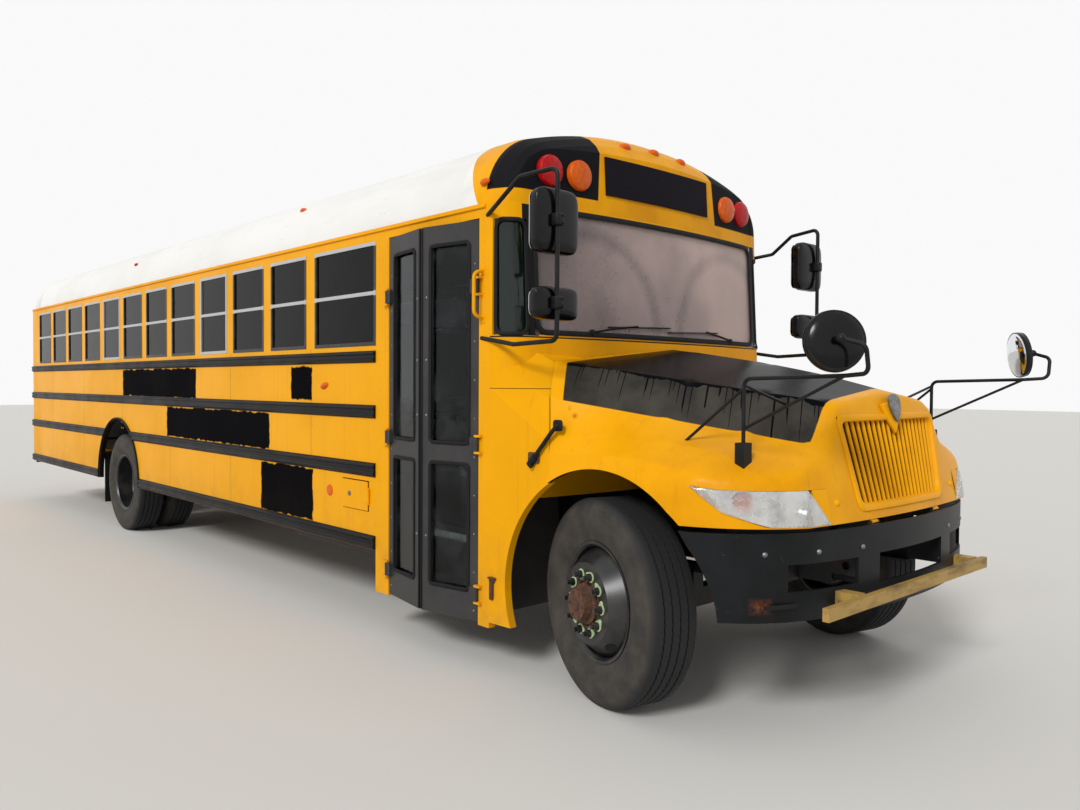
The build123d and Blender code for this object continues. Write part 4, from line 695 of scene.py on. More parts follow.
def glass(name, colour, haze, dirt, dirt_size, amount, level, bend=1.5, wiped=False):
    """Toughened glass: smooth and tinted, with a film of dried dirt that scatters where it lies.
    A wiped one has more film towards the bus's left, less along the arcs where the two wipers turn
    back and in fine specks, and hardly any on the green corner glass."""
    made, tree, place = begin(name)
    film = cloud(tree, place, dirt_size, *amount)
    if wiped:
        y = add_node(tree, "SeparateXYZ", {0: place}, 1)
        drift = {"Value": y, "From Min": -1100.0, "From Max": 700.0, "To Min": 0.3, "To Max": 0.85}
        drift = add_node(tree, "MapRange", drift)
        speck = cloud(tree, place, 22, 0.55, 0.8)
        film = add_node(tree, "Math", {0: film, 1: 0.3, 2: drift}, operation="MULTIPLY_ADD")
        for pivot_y, _, _ in wiper_places:
            pivot = (0, pivot_y, wiper_pivot_z)
            flat = add_node(tree, "VectorMath", {0: place, 1: pivot}, operation="SUBTRACT")
            flat = add_node(tree, "VectorMath", {0: flat, 1: (0, 1, 1)}, operation="MULTIPLY")
            reach = add_node(tree, "VectorMath", {0: flat}, 1, operation="LENGTH")
            rim = add_node(tree, "Math", {0: reach, 1: 560.0}, operation="SUBTRACT")
            rim = add_node(tree, "Math", {0: rim}, operation="ABSOLUTE")
            rim = {"Value": rim, "From Min": 70.0, "From Max": 0.0, "To Max": -0.14}
            rim = add_node(tree, "MapRange", rim)
            film = add_node(tree, "Math", {0: film, 1: rim}, operation="ADD")
        film = add_node(tree, "Math", {0: speck, 1: -0.12, 2: film}, operation="MULTIPLY_ADD")
        corner = add_node(tree, "Math", {0: y}, operation="ABSOLUTE")
        corner = add_node(
            tree, "MapRange", {"Value": corner, "From Min": 1050.0, "From Max": 1054.0}
        )
        film = add_node(tree, "MapRange", {"Value": corner, "To Min": film, "To Max": 0.12})
    tone = over(tree, linear(colour), linear(dirt), film)
    if wiped:
        tone = over(tree, tone, linear("2c4a3f"), corner)
    clear = add_node(tree, "MapRange", {"Value": film, "To Min": 1.0, "To Max": 1 - haze})
    gloss = add_node(tree, "MapRange", {"Value": film, "To Min": 0.03, "To Max": 0.4})
    surface(
        tree, Base_Color=tone, Roughness=gloss, IOR=bend, Specular_IOR_Level=level,
        Transmission_Weight=clear,
    )
    return made


# Dark tinted side panes, clear door panes, a dusty windshield, and moulded lenses with a fine grain
side_glass = glass("tinted_side_glass", "15181b", 0.08, "33322e", 300, (0.5, 0.85), 0.1, 1.2)
door_glass = glass("tinted_door_glass", "bac2c6", 0.08, "6b6a63", 260, (0.5, 0.85), 0.15, 1.25)
front_glass = glass(
    "dusty_windshield_glass", "3c4350", 0.95, "cdb4ad", 760, (0.3, 0.7), 0.25, wiped=True
)
clear_lens = glass("hazed_polycarbonate_lens", "f6f6f4", 0.6, "f0efec", 170, (0.2, 0.62), 0.4)
amber_lens = plain("amber_lamp_lens", "d45000", "e26c04", 26, (0.14, 0.2), depth=1.2, shine=0.2)
red_lens = plain("red_lamp_lens", "a8030a", "c80c14", 26, (0.14, 0.2), depth=1.2, shine=0.2)
chrome = plain(
    "vacuum_plated_reflector", "e3e4e6", "c2c4c8", 50, (0.12, 0.22), metal=1.0, depth=0.1
)
mirror_glass = plain("mirror_glass", "e9ecee", "d7dade", 200, (0.03, 0.06), metal=1.0, depth=0.02)


def bumper_paint(name):
    """Steel bumper in chalked black paint, scuffed to blue grey, with rust round a torn slot."""
    made, tree, place = begin(name)
    tone = over(tree, linear("0b0c0e"), linear("191b1e"), cloud(tree, place, 300, 0.35, 0.7))
    scuff = cloud(tree, place, 60, 0.66, 0.78, (1, 0.3, 1))
    scuff = add_node(tree, "Math", {0: scuff, 1: 0.5}, operation="MULTIPLY")
    tone = over(tree, tone, linear("6a6c6c"), scuff)
    halo = within(tree, place, (700, -1024, 616), (900, -984, 646), 26)
    halo = add_node(
        tree, "Math", {0: halo, 1: cloud(tree, place, 18, 0.3, 0.6)}, operation="MULTIPLY"
    )
    tone = over(tree, tone, linear("7d4526"), halo)
    surface(
        tree, Base_Color=tone, Roughness=0.42, Specular_IOR_Level=0.2,
        Normal=grain(tree, place, 12, 0.15),
    )
    return made


bumper_black = bumper_paint("chalked_black_bumper_paint")


def off_line(tree, place, centre, axis):
    """Distance of a surface point from a line: the length of (place - centre) cross axis."""
    off = add_node(tree, "VectorMath", {0: place, 1: centre}, operation="SUBTRACT")
    out = add_node(tree, "VectorMath", {0: off, 1: axis}, operation="CROSS_PRODUCT")
    return add_node(tree, "VectorMath", {0: out}, 1, operation="LENGTH")


def tyre_rubber(name, centre, axis):
    """Tyre rubber: near black on the tread, browner with dried dust on the sidewall, with fine
    mould lines that run round the wheel."""
    made, tree, place = begin(name)
    radius = off_line(tree, place, centre, axis)
    dust = add_node(tree, "MapRange", {"Value": radius, "From Min": 508.0, "From Max": 470.0})
    dust = add_node(
        tree, "Math", {0: dust, 1: cloud(tree, place, 120, 0.2, 0.8)}, operation="MULTIPLY"
    )
    tone = over(tree, linear("18181a"), linear("4a443c"), dust)
    waves = add_node(tree, "Math", {0: radius, 1: 2 * pi / 9.0}, operation="MULTIPLY")
    waves = add_node(tree, "Math", {0: waves}, operation="SINE")
    bump = add_node(tree, "Bump", {"Height": waves, "Distance": 0.0003, "Strength": 0.5})
    surface(tree, Base_Color=tone, Roughness=0.82, Normal=bump)
    return made


def wheel_paint(name, centre, axis):
    """Pressed steel wheel: gloss black dulled by dust, and bare rusted iron inside the studs."""
    made, tree, place = begin(name)
    radius = off_line(tree, place, centre, axis)
    tone = over(tree, linear("14161a"), linear("3d3a36"), cloud(tree, place, 130, 0.4, 0.8))
    rust = add_node(tree, "MapRange", {"Value": radius, "From Min": 122.0, "From Max": 114.0})
    iron = over(tree, linear("3f3029"), linear("6d452d"), cloud(tree, place, 16, 0.35, 0.65))
    tone = over(tree, tone, iron, rust)
    gloss = add_node(tree, "MapRange", {"Value": rust, "To Min": 0.34, "To Max": 0.9})
    surface(tree, Base_Color=tone, Roughness=gloss, Normal=grain(tree, place, 9, 0.2))
    return made


def stop_paint(name):
    """Plain reflective red sheeting on aluminium, with a white rim where the largest of x, z and
    0.7071 * (x + z), taken from its middle, passes 203 mm: along all eight sides."""
    made, tree, place = begin(name)
    off = add_node(tree, "VectorMath", {0: place, 1: (stop_arm_x, 0, 1580)}, operation="SUBTRACT")
    size = add_node(tree, "VectorMath", {0: off}, operation="ABSOLUTE")
    x, _, z = add_node(tree, "SeparateXYZ", {0: size}, slice(None))
    slant = add_node(tree, "Math", {0: x, 1: z}, operation="ADD")
    slant = add_node(tree, "Math", {0: slant, 1: 0.7071}, operation="MULTIPLY")
    most = add_node(tree, "Math", {0: x, 1: z}, operation="MAXIMUM")
    most = add_node(tree, "Math", {0: most, 1: slant}, operation="MAXIMUM")
    rim = add_node(tree, "MapRange", {"Value": most, "From Min": 203.0, "From Max": 205.0})
    red = over(tree, linear("b01a1c"), linear("93201c"), cloud(tree, place, 150, 0.4, 0.7))
    tone = over(tree, red, linear("e8e6e0"), rim)
    surface(tree, Base_Color=tone, Roughness=0.4, Normal=grain(tree, place, 5, 0.05))
    return made


def frame_metal(name):
    """Side window frames: dark bronze-painted aluminium, with the bright bare metal showing on the
    middle rails and top bars, and on two whole frames that were changed for new ones."""
    made, tree, place = begin(name)
    fronts = [second_window_x - step * window_pitch for step in (2, 6)]
    spans = [((x - window_width, -1300, 1800), (x, -1100, 2500)) for x in fronts]
    spans += [((-20000, -1300, low), (0, 1300, top)) for low, top in ((2146, 2178), (2462, 2500))]
    bare = within(tree, place, *spans[0], 1.0)
    for low, high in spans[1:]:
        cover = within(tree, place, low, high, 1.0)
        bare = add_node(tree, "Math", {0: bare, 1: cover}, operation="MAXIMUM")
    tone = over(tree, linear("1c1917"), linear("c4c6c6"), bare)
    worn = cloud(tree, place, 90, 0.45, 0.75)
    worn = add_node(tree, "Math", {0: worn, 1: 0.12}, operation="MULTIPLY")
    tone = over(tree, tone, linear("8d8b84"), worn)
    metal = add_node(tree, "MapRange", {"Value": bare, "To Min": 0.0, "To Max": 0.8})
    surface(
        tree, Base_Color=tone, Roughness=0.42, Metallic=metal, Normal=grain(tree, place, 20, 0.1)
    )
    return made


stop_red = stop_paint("reflective_red_sheeting")
frame_finish = frame_metal("bronze_and_bare_window_aluminium")
steer_axis = (-sin(steer_at_rest), cos(steer_at_rest), 0.0)
rear_axle = (-wheelbase, 0.0, hub_z)
rear_axis = (0.0, 1.0, 0.0)
wheel_black = {"rear": wheel_paint("black_wheel_enamel_rear", rear_axle, rear_axis)}
rubber = {"rear": tyre_rubber("tyre_rubber_rear", rear_axle, rear_axis)}
for word, side in sides:
    hub = (0.0, side * kingpin_y, hub_z)
    wheel_black[word] = wheel_paint(f"black_wheel_enamel_front_{word}", hub, steer_axis)
    rubber[word] = tyre_rubber(f"tyre_rubber_front_{word}", hub, steer_axis)
# Near black that paints the shadow inside holes, in the torn bumper slot and behind the grille bars
hole_shadow_black = plain("shadowed_hole", "050505", "0a0a0a", 50, (0.9, 0.95), depth=0.1)

# Finish of every CAD node that stays
dressed = [
    (side_enamel, ["side_walls"]),
    (white_roof, ["roof"]),
    (hatch_white, ["roof_hatch_front", "roof_hatch_rear"]),
    (cap_enamel, ["roof_end_caps"]),
    (cowl_enamel, ["cowl"]),
    (front_glass, ["windshield"]),
    (floor_rubber, ["floor_and_steps"]),
    (rear_enamel, ["rear_wall", "rear_emergency_door"]),
    (side_glass, ["window_glass", "rear_door_glass"]),
    (frame_finish, ["window_frames"]),
    (door_grey, ["entry_door_front_leaf", "entry_door_rear_leaf"]),
    (door_glass, ["entry_door_front_glass", "entry_door_rear_glass"]),
    (plain_enamel, ["fuel_door"]),
    (bumper_black, ["front_bumper"]),
    (yellow_bar_painted_shade, ["crossing_bar"]),
    (chassis_black, [
        "rear_bumper", "chassis_frame", "floor_sills", "underfloor_boxes", "leaf_springs",
        "tie_rod", "steering_knuckle_right", "steering_knuckle_left", "axle_beams", "engine_block",
    ]),
    (rusty_steel, ["drive_shaft_and_exhaust"]),
    (window_rubber, ["mud_flaps"]),
    (stop_red, ["stop_arm"]),
    (black_plastic, ["body_brackets", "cross_view_mirrors", "dashboard", "passenger_seat_frames"]),
    (matt_black_sign, ["destination_sign"]),
    (wheel_black["right"], ["front_wheel_right"]),
    (wheel_black["left"], ["front_wheel_left"]),
    (wheel_black["rear"], ["rear_wheels_right", "rear_wheels_left"]),
]
for finish, names in dressed:
    for node_name in names:
        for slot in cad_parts[node_name].material_slots:
            slot.material = finish


# Tyres
sidewall = [
    (84, 286.5), (104.5, 286.5), (107.5, 298.6), (112, 306), (114, 310), (114, 314), (121, 330),
    (130.5, 360), (136.5, 380), (139, 400), (138.6, 425), (134.8, 452), (132.6, 459), (133.4, 463),
    (130, 471), (126, 483), (119.6, 497), (113.5, 505.5),
]
lining = [
    (-100, 330), (-122, 400), (-118, 450), (-98, 480), (98, 480), (118, 450), (122, 400), (100, 330)
]
front_tyre_y = 1020.0
twin_tyre_y = (1050.0, 714.0)
tread_half = 104.0
rib_edges = (66.0, 22.0, -22.0, -66.0)
groove_half = 4.6
groove_waver = 2.2
tread_radius = 511.6
groove_radius = 498.6
zigzags = 84


def tyre_sheet(middle_y, around=336):
    """A ribbed truck tyre about the line X = 0, Z = hub: one section of widths and radii carried
    round, closed through its lining. The four grooves wander to and fro by a triangle wave."""
    edge, floor = groove_half, groove_half - 1.4
    section = [(w, r, 0.0) for w, r in sidewall + [(tread_half, tread_radius)]]
    for middle in rib_edges:
        cut = ((edge, tread_radius), (floor, groove_radius))
        section += [(middle + off, radius, groove_waver) for off, radius in cut]
        section += [(middle - off, radius, groove_waver) for off, radius in cut[::-1]]
    section += [(-w, r, 0.0) for w, r in [(tread_half, tread_radius)] + sidewall[::-1]]
    section += [(w, r, 0.0) for w, r in lining]
    width, radius, waver = np.array(section).T
    angle = np.linspace(0, 2 * pi, around, endpoint=False)[:, None]
    wave = np.abs((angle * zigzags / (2 * pi)) % 1 - 0.5) * 4 - 1
    grid = [radius * np.cos(angle), middle_y + width + waver * wave, hub_z + radius * np.sin(angle)]
    return np.stack(np.broadcast_arrays(*grid), -1), True, True


for word, side in sides:
    piece(
        f"ribbed_tyre_front_{word}", [steered(tyre_sheet(side * front_tyre_y), side)],
        rubber[word], f"front_wheel_{word}", 50, [f"front_tyre_{word}"],
    )
for word, side in sides:
    pair = [tyre_sheet(side * middle, 168) for middle in twin_tyre_y]
    pair = [(grid + [-wheelbase, 0, 0], rows, columns) for grid, rows, columns in pair]
    piece(
        f"ribbed_tyres_rear_{word}", pair, rubber["rear"], f"rear_wheels_{word}", 50,
        [f"rear_tyres_{word}"],
    )

# Wheel nut indicators, hub cap rings and the oval hand holes of the front wheels
stud_radius = 285.75 / 2
wheel_face = front_tyre_y + 168.0


def nut_indicator(angle, side):
    """A flat ring round a wheel nut with a pointer to its neighbour: radius grows by a narrow
    lobe where it points."""
    turn = np.linspace(0, 2 * pi, 28, endpoint=False)
    outer = 26 + 17 * np.clip(np.cos(turn - pi / 2), 0, 1) ** 10
    inner = np.full_like(turn, 19.6)
    rows = np.stack([inner, outer, outer, inner])
    depth = np.array([1.0, 1.0, 5.5, 6.5])[:, None] + 0 * turn
    local_x, local_z = rows * np.cos(turn), rows * np.sin(turn)
    x = cos(angle) * (stud_radius + local_x) - sin(angle) * local_z
    z = sin(angle) * (stud_radius + local_x) + cos(angle) * local_z
    return steered((np.stack([x, side * (wheel_face + depth), hub_z + z], -1), True, True), side)


for word, side in sides:
    rings = [nut_indicator(radians(36 * k), side) for k in range(10)]
    piece(f"nut_indicators_{word}", rings, pale_green, f"front_wheel_{word}")
    cap = turned(
        [(0, 60), (3, 66), (9, 68), (9, 56), (5, 52), (6, 30), (16, 28), (17, 22), (17, 0)],
        (0, side * (wheel_face + 50), hub_z), (0, side, 0), 36,
    )
    bolts = []
    for turn in (k * pi / 3 for k in range(6)):
        at = (60 * cos(turn), side * (wheel_face + 58), hub_z + 60 * sin(turn))
        bolts.append(turned([(0, 8), (6, 8), (8, 5), (8, 0)], at, (0, side, 0), 6))
    piece(
        f"hub_cap_{word}", [steered(s, side) for s in [cap] + bolts], rusty_steel,
        f"front_wheel_{word}",
    )


def hand_hole(angle, side):
    """An oval hole's rolled lip and floor on the sloping part of the disc, which falls from
    radius 200 at the face to radius 272 ninety-six millimetres further in; both are near black,
    painted shadow for the hole."""
    turn = np.linspace(0, 2 * pi, 36, endpoint=False)
    size = np.array([1.0, 0.98, 0.9, 0.84, 0.5, 0.0])[:, None]
    lift = np.array([0.0, 3.0, 3.5, 0.8, 0.6, 0.6])[:, None]
    around = 37 * size * np.cos(turn)
    slope = 27 * size * np.sin(turn)
    radius = 237 + slope * 0.6 + lift * 0.8
    inward = (radius - 200) * 96 / 72 - lift * 0.9
    bend = angle + around / radius
    grid = [radius * np.cos(bend), side * (wheel_face - inward), hub_z + radius * np.sin(bend)]
    return steered((np.stack(grid, -1), False, True), side)


for word, side in sides:
    holes = [hand_hole(radians(a), side) for a in (-52, 128)]
    piece(f"wheel_hand_hole_shadows_{word}", holes, hole_shadow_black, f"front_wheel_{word}")

# Seats
seat_pitch = 668.0
first_seat_x = -2350.0


def cushion(low, high, crown=0.1, pull=0.035, around=44, rise=22, power=0.28):
    """A stuffed block: unit coordinates from powers of cosines and sines give a box with soft
    edges; its large faces swell by crown, and its sides pull in between the corners."""
    low, high = np.minimum(low, high), np.maximum(low, high)
    middle, half = (low + high) / 2, (high - low) / 2
    turn = np.linspace(0, 2 * pi, around, endpoint=False)
    lift = np.linspace(-pi / 2, pi / 2, rise)[:, None]

    def soft(value):
        return np.sign(value) * np.abs(value) ** power

    level = soft(np.cos(lift))
    parts = [level * soft(np.cos(turn)), level * soft(np.sin(turn)), soft(np.sin(lift)) + 0 * turn]
    thin = int(np.argmin(half))
    others = [k for k in range(3) if k != thin]
    swell = (1 - parts[others[0]] ** 2) * (1 - parts[others[1]] ** 2)
    shaped = [0, 0, 0]
    shaped[thin] = parts[thin] * (1 - crown + crown * swell)
    for k, other in (others, others[::-1]):
        shaped[k] = parts[k] * (1 - pull * (1 - parts[other] ** 2) * (1 - parts[thin] ** 2))
    return middle + half * np.stack(shaped, -1), False, True


for row in range(12):
    x = first_seat_x - row * seat_pitch
    for word, side in sides:
        near, far = side * 190, side * 1150
        for part, low, high in (
            ("cushion", (x - 360, near, floor_z + 350), (x, far, floor_z + 460)),
            ("back", (x - 430, near, floor_z + 352), (x - 362, far, floor_z + 1040)),
        ):
            made = piece(
                f"seat_{part}_{word}_{row + 1}", [cushion(low, high)], green_vinyl, "bus_body",
                80, ["passenger_seat_pads"],
            )

for part, low, high, fill in (
    ("cushion", (-1895, 232, 1392), (-1402, 728, 1508), 0.85),
    ("back", (-2008, 232, 1420), (-1898, 728, 2155), 0.8),
):
    made = piece(
        f"driver_seat_{part}", [cushion(low, high, 0.16, 0.05)], driver_cloth, "bus_body",
        80, ["driver_seat"],
    )
pedestal = [
    soft_box((-1960, 282, 1012), (-1452, 678, 1100), 20),
    soft_box((-1900, 320, 1100), (-1500, 640, 1392), 30),
]
piece(
    "driver_seat_pedestal", pedestal, black_plastic, "bus_body", 38,
    ["driver_seat"],
)

# Body trim
rail_bands = [(1716.0, 1793.0), (1358.0, 1444.0), (980.0, 1072.0), (512.0, 604.0)]
arch_x, arch_z, arch_radius = -7040.0, 540.0, 650.0
rail_profile = np.array([
    (0.4, 0.0), (5, 0.0), (6, 0.08), (17, 0.13), (21, 0.18), (21.5, 0.27), (17, 0.32), (14, 0.36),
    (14, 0.64), (17, 0.68), (21.5, 0.73), (21, 0.82), (17, 0.87), (6, 0.92), (5, 1.0), (0.4, 1.0),
])


def rub_rail(side, low, high, start, end):
    """A rolled rail: one section of standing-out and height carried along X. An end at the wheel
    arch follows the arch's circle, as x = arch centre plus or minus the root of r2 less dz2."""
    out, up = rail_profile[:, 0], low + rail_profile[:, 1] * (high - low)
    away = np.sqrt(np.clip((arch_radius + 14) ** 2 - np.clip(up - arch_z, 0, None) ** 2, 0, None))
    ends = [
        arch_x + way * away if mark == "arch" else np.full_like(up, mark)
        for mark, way in ((start, 1), (end, -1))
    ]
    return capped([np.stack([x, side * (half_width + out), up], -1) for x in ends])


rails = []
for side, front in ((-1, -1935.0), (1, -885.0)):
    for low, high in rail_bands:
        runs = [(rear_x, front)] if low > 1300 else [(rear_x, "arch"), ("arch", front)]
        rails += [rub_rail(side, low, high, start, end) for start, end in runs]
piece("rolled_rub_rails", rails, rub_rail_black, "bus_body", 30, ["rub_rails"])

drip = np.array([(0.2, 0), (9, 0), (12, 3), (12, 8), (6, 9), (4, 22), (0.2, 24)])
moulding = []
for side in both_sides:
    out, up = side * (half_width + drip[:, 0]), 2542 + drip[:, 1]
    ends = (rear_x + 4, -830.0)
    moulding.append(capped([np.stack([np.full(len(drip), x), out, up], -1) for x in ends]))
piece("drip_mouldings", moulding, plain_enamel, "bus_body", 30)

lip_radius = arch_radius + 8
lip_run = [(arch_x + lip_radius, 512)]
for turn in np.linspace(0, pi, 49):
    lip_run.append((arch_x + lip_radius * cos(turn), arch_z + lip_radius * sin(turn)))
lip_run.append((arch_x - lip_radius, 512))
lip_section = [(-9, -7), (9, -7), (9, 3), (6, 7), (-6, 7), (-9, 3)]
lips = []
for side in both_sides:
    run = [(x, side * (half_width + 9), z) for x, z in lip_run]
    lips.append(carried(np.array(run), lip_section))
piece("rubber_arch_lips", lips, window_rubber, "bus_body", 30)

# Roof section: a crown arc between two shoulder arcs, and the rivet rows of its bows
shoulder_radius, shoulder_y = 430.0, 789.0
crown_radius, crown_z = 3289.6, -179.6
crown_limit = radians(16.02)


def roof_point(x, angle, drawn=0.0):
    """Place and outward direction on the roof at an angle from upright."""
    middle = abs(angle) < crown_limit
    centre_y = 0.0 if middle else shoulder_y * np.sign(angle)
    centre_z = crown_z if middle else gutter_z
    radius = (crown_radius if middle else shoulder_radius) - drawn
    way = np.array([0.0, sin(angle), cos(angle)])
    return np.array([x, centre_y, centre_z]) + radius * way, way


def dome(at, out, along, long, wide, high, around=20, rise=5):
    """Half an ellipsoid standing on a surface: at + out * high * sin v + cos v * (along * long *
    cos u + square * wide * sin u), closed by a flat base."""
    out, along = unit(out), unit(along)
    along = unit(along - out * np.dot(along, out))
    square = np.cross(out, along)
    u = np.linspace(0, 2 * pi, around, endpoint=False)[:, None]
    rows = [np.asarray(at, float) + 0 * u * out]
    for v in np.linspace(0, pi / 2, rise):
        ring = along * long * np.cos(u) + square * wide * np.sin(u)
        rows.append(np.asarray(at) + out * high * sin(v) + cos(v) * ring)
    return np.stack(rows), False, True


heads = []
for side in both_sides:
    out = (0, side, 0)
    columns = [-838.0] + ([-1893.0, -1803.0] if side < 0 else [-1740.0])
    for x in columns:
        heads += rivets([(x, side * half_width, z) for z in np.arange(640, 2480, 82.0)], out)
    for step in range(6):
        for x in (seam_x(step) - 22, seam_x(step) + 26):
            for low, high in ((1100, 1345), (1465, 1705)):
                column = [(x, side * half_width, z) for z in np.arange(low, high, 60.0)]
                heads += rivets(column, out)
    row = [(x, side * (half_width + 4), 2559) for x in np.arange(rear_x + 60, -840, 75.0)]
    heads += rivets(row, out, 4.5)
bow_heads = []
half_bow = np.radians([1.5, 5, 9, 13, 22, 36, 50, 64, 78])
for x in np.arange(rear_x + 500, -1150, 2 * window_pitch):
    for row in (0.0, 44.0):
        for angle in (*-half_bow[::-1], *half_bow):
            at, way = roof_point(x + row, angle)
            bow_heads += rivets([at], way)
piece("roof_rivets", bow_heads, white_roof, "bus_body", 60)
piece("body_rivets", heads, side_enamel, "bus_body", 60)


# Front of the body, seen from above
def front_x(y, z):
    """Front face of the body: it curves in plan and leans back with height."""
    return -545.0 - 0.06 * (z - 1840.0) - y**2 / 13400.0


def onto_front(sheet, lift):
    """A flat sheet in Y and Z, laid on the curved front face and lifted off it."""
    grid, rows, columns = sheet
    grid = grid.copy()
    grid[..., 0] += front_x(grid[..., 1], grid[..., 2]) + lift
    return grid, rows, columns


def corner_place(u, z, side, proud):
    """Place round the front corner: the plan arc through the side, a point 0.62 and 0.72 of the
    way, and the face, at a fraction u of its turn, stood off by proud."""
    ax, ay = -790.0, half_width
    cx, cy = front_x(1040.0, z), 1040.0
    between = ax + 0.62 * (cx - ax), cy + 0.72 * (ay - cy)
    ux, uy, radius, start, end = circle_through((ax, ay), between, (cx, cy))
    radius = radius + proud
    turn = start + (end - start) * u
    x, y = ux + radius * np.cos(turn), uy + radius * np.sin(turn)
    return np.stack([x, side * y, z + 0 * turn], -1)


glass_outline = rectangle(2070, 708, 70, 6, 150) + [0, 2206]
seals = [onto_front(framed(glass_outline, (0, 0, 0), (0, 1, 0), (0, 0, 1), 30, 9), -3)]
corner_outline = rectangle(232, 640, 60, 6, 96) + [0, 2163]
for side in both_sides:
    grid, rows, columns = framed(corner_outline, (0, 0, 0), (0, 1, 0), (0, 0, 1), 24, 9)
    fraction = 0.49 + grid[..., 1] / 270.0 * 0.9
    seals.append((corner_place(fraction, grid[..., 2], side, grid[..., 0] - 3), rows, columns))
for y in (785, -785):
    ring = rectangle(474, 599, 60, 6, 80)
    seals.append(framed(ring, (rear_x + 2, y, 2112.5), (0, -1, 0), (0, 0, 1), 32, 9))
piece("window_seals", seals, window_rubber, "bus_body", 30)
door_rings = []
for low, high in ((1700, 2330), (1120, 1540)):
    ring = rectangle(592, high - low + 24, 40, 6, 80)
    middle = (rear_x + 4, 0, (low + high) / 2)
    door_rings.append(framed(ring, middle, (0, -1, 0), (0, 0, 1), 30, 9))
piece("rear_door_window_seals", door_rings, window_rubber, "rear_door", 30)
grip = [(rear_x + out, 300, z) for out, z in ((2, 1420), (-40, 1425), (-40, 1625), (2, 1630))]
handle = [tube(grip, 9, 20)]
handle += [soft_box((rear_x - 8, 268, z), (rear_x + 3, 332, z + 45), 4) for z in (1395, 1610)]
piece("rear_door_handle", handle, bare_steel, "rear_door")

# Wipers: an arm from a pivot at the windshield's foot, and a blade that lies on the glass
wipers = []
for pivot_y, tip, blade in wiper_places:
    pivot = (pivot_y, wiper_pivot_z)
    foot, end = front_x(*pivot), front_x(*tip)
    wipers.append(turned([(0, 17), (12, 17), (17, 12), (17, 0)], (foot - 4, *pivot), (1, 0, 0), 20))
    elbow = (foot + 16, (pivot_y + tip[0]) / 2, wiper_pivot_z * 0.4 + tip[1] * 0.6)
    wipers.append(tube([(foot + 12, *pivot), elbow, (end + 12, *tip)], 7, 40, 8, 0.5))
    y, z = np.linspace(*blade, 24).T
    line = np.stack([front_x(y, z) - 1, y, z], -1)
    wipers.append(carried(line, [(-4, -7), (4, -7), (4, 2), (1, 8), (-1, 8), (-4, 2)]))
piece("windshield_wipers", wipers, black_plastic, "bus_body", 40)


# Lamps
def lamp(at, out, radius, reach):
    """A round lamp: a short skirt, and a lens that curves in to a shallow crown."""
    profile = [(0, 0), (0, 1.0), (0.62, 1.0), (0.8, 0.93), (0.92, 0.72), (0.98, 0.42), (1.0, 0.0)]
    return turned([(a * reach, r * radius) for a, r in profile], at, out, 40)


# Pairs of warning lamps over the windshield and the rear door, and the tail lamps
for name, front_y, back_y, finish in (
    ("red", 902, 880, red_lens),
    ("amber", 698, 676, amber_lens),
):
    lenses = []
    for side in both_sides:
        at = (front_x(front_y, lamp_z) - 18, side * front_y, lamp_z)
        lenses.append(lamp(at, (1, 0, 0), 87, 52))
        lenses.append(lamp((rear_x, side * back_y, 2690), (-1, 0, 0), 87, 44))
        if name == "red":
            for z, radius in ((1240, 90), (1040, 60)):
                lenses.append(lamp((rear_x, side * 960, z), (-1, 0, 0), radius, 27))
    piece(f"{name}_lamp_lenses", lenses, finish, "bus_body", 35, [f"{name}_lamps"])

amber_markers = [dome((-2590, -half_width, 1565), (0, -1, 0), (1, 0, 0.25), 52, 22, 22)]
amber_markers.append(dome((-2590, half_width, 1650), (0, 1, 0), (1, 0, 0.25), 52, 22, 22))
for y in (-262, 4, 270):
    at, way = roof_point(-680, np.arcsin(y / (crown_radius - 84)), 84)
    amber_markers.append(dome(at, unit(way + [0.9, 0, 0]), (0, 1, 0), 46, 27, 26))
for side in both_sides:
    amber_markers.append(dome((-850, side * 1208, 2686), (0, side, 0.25), (1, 0, 0), 40, 20, 20))
    at, way = roof_point(-3128, side * radians(46))
    amber_markers.append(dome(at, way, (1, 0, 0), 44, 18, 20))
# A flat round reflector behind the fuel door
amber_markers.append(lamp((-2519, -half_width, 846), (0, -1, 0), 38, 7))
piece("amber_marker_lamps", amber_markers, amber_lens, "bus_body", 60)
red_markers = []
for side in both_sides:
    at, way = roof_point(-6631, side * radians(58))
    red_markers.append(dome(at, way, (1, 0, 0), 44, 18, 20))
    red_markers.append(dome((rear_x, side * 1060, 2600), (-1, 0, 0), (0, 1, 0), 44, 22, 20))
piece("red_marker_lamps", red_markers, red_lens, "bus_body", 60)
stop_lamps = [lamp((stop_arm_x, half_width + 42, z), (0, 1, 0), 42, 22) for z in (1725, 1435)]
piece("stop_arm_lamps", stop_lamps, red_lens, "stop_arm", 35)

# Mirrors
mirror_heads = ((2235.0, 2560.0), (1905.0, 2070.0))
clamp_nut = [(0, 7), (5, 7), (7, 4), (7, 0)]
shells, mirror_faces, clamps = [], [], []
for side in both_sides:
    for low, high in mirror_heads:
        middle = (low + high) / 2
        shell = cushion((-352, 1052, low), (-262, 1348, high), 0.30, 0.0, 64, 30, 0.36)
        shells.append(on_side(shell, side))
        ring = rectangle(262, high - low - 30, 34, 5, 60)
        mirror_faces.append(plate(ring, (-350, side * 1200, middle), (0, -1, 0), (0, 0, 1), 5, 2))
        low, high = (-275, side * 1210, middle - 32), (-226, side * 1260, middle + 32)
        clamps.append(soft_box(low, high, 9))
        for z in (middle - 18, middle + 18):
            clamps.append(turned(clamp_nut, (-228, side * 1218, z), (1, 0, 0), 6))
piece(
    "side_mirror_shells", shells, mirror_shell, "bus_body", 50,
    ["side_mirror_heads"],
)
piece("side_mirror_clamps", clamps, black_plastic, "bus_body", 38)
piece("side_mirror_glass", mirror_faces, mirror_glass, "bus_body", 38)
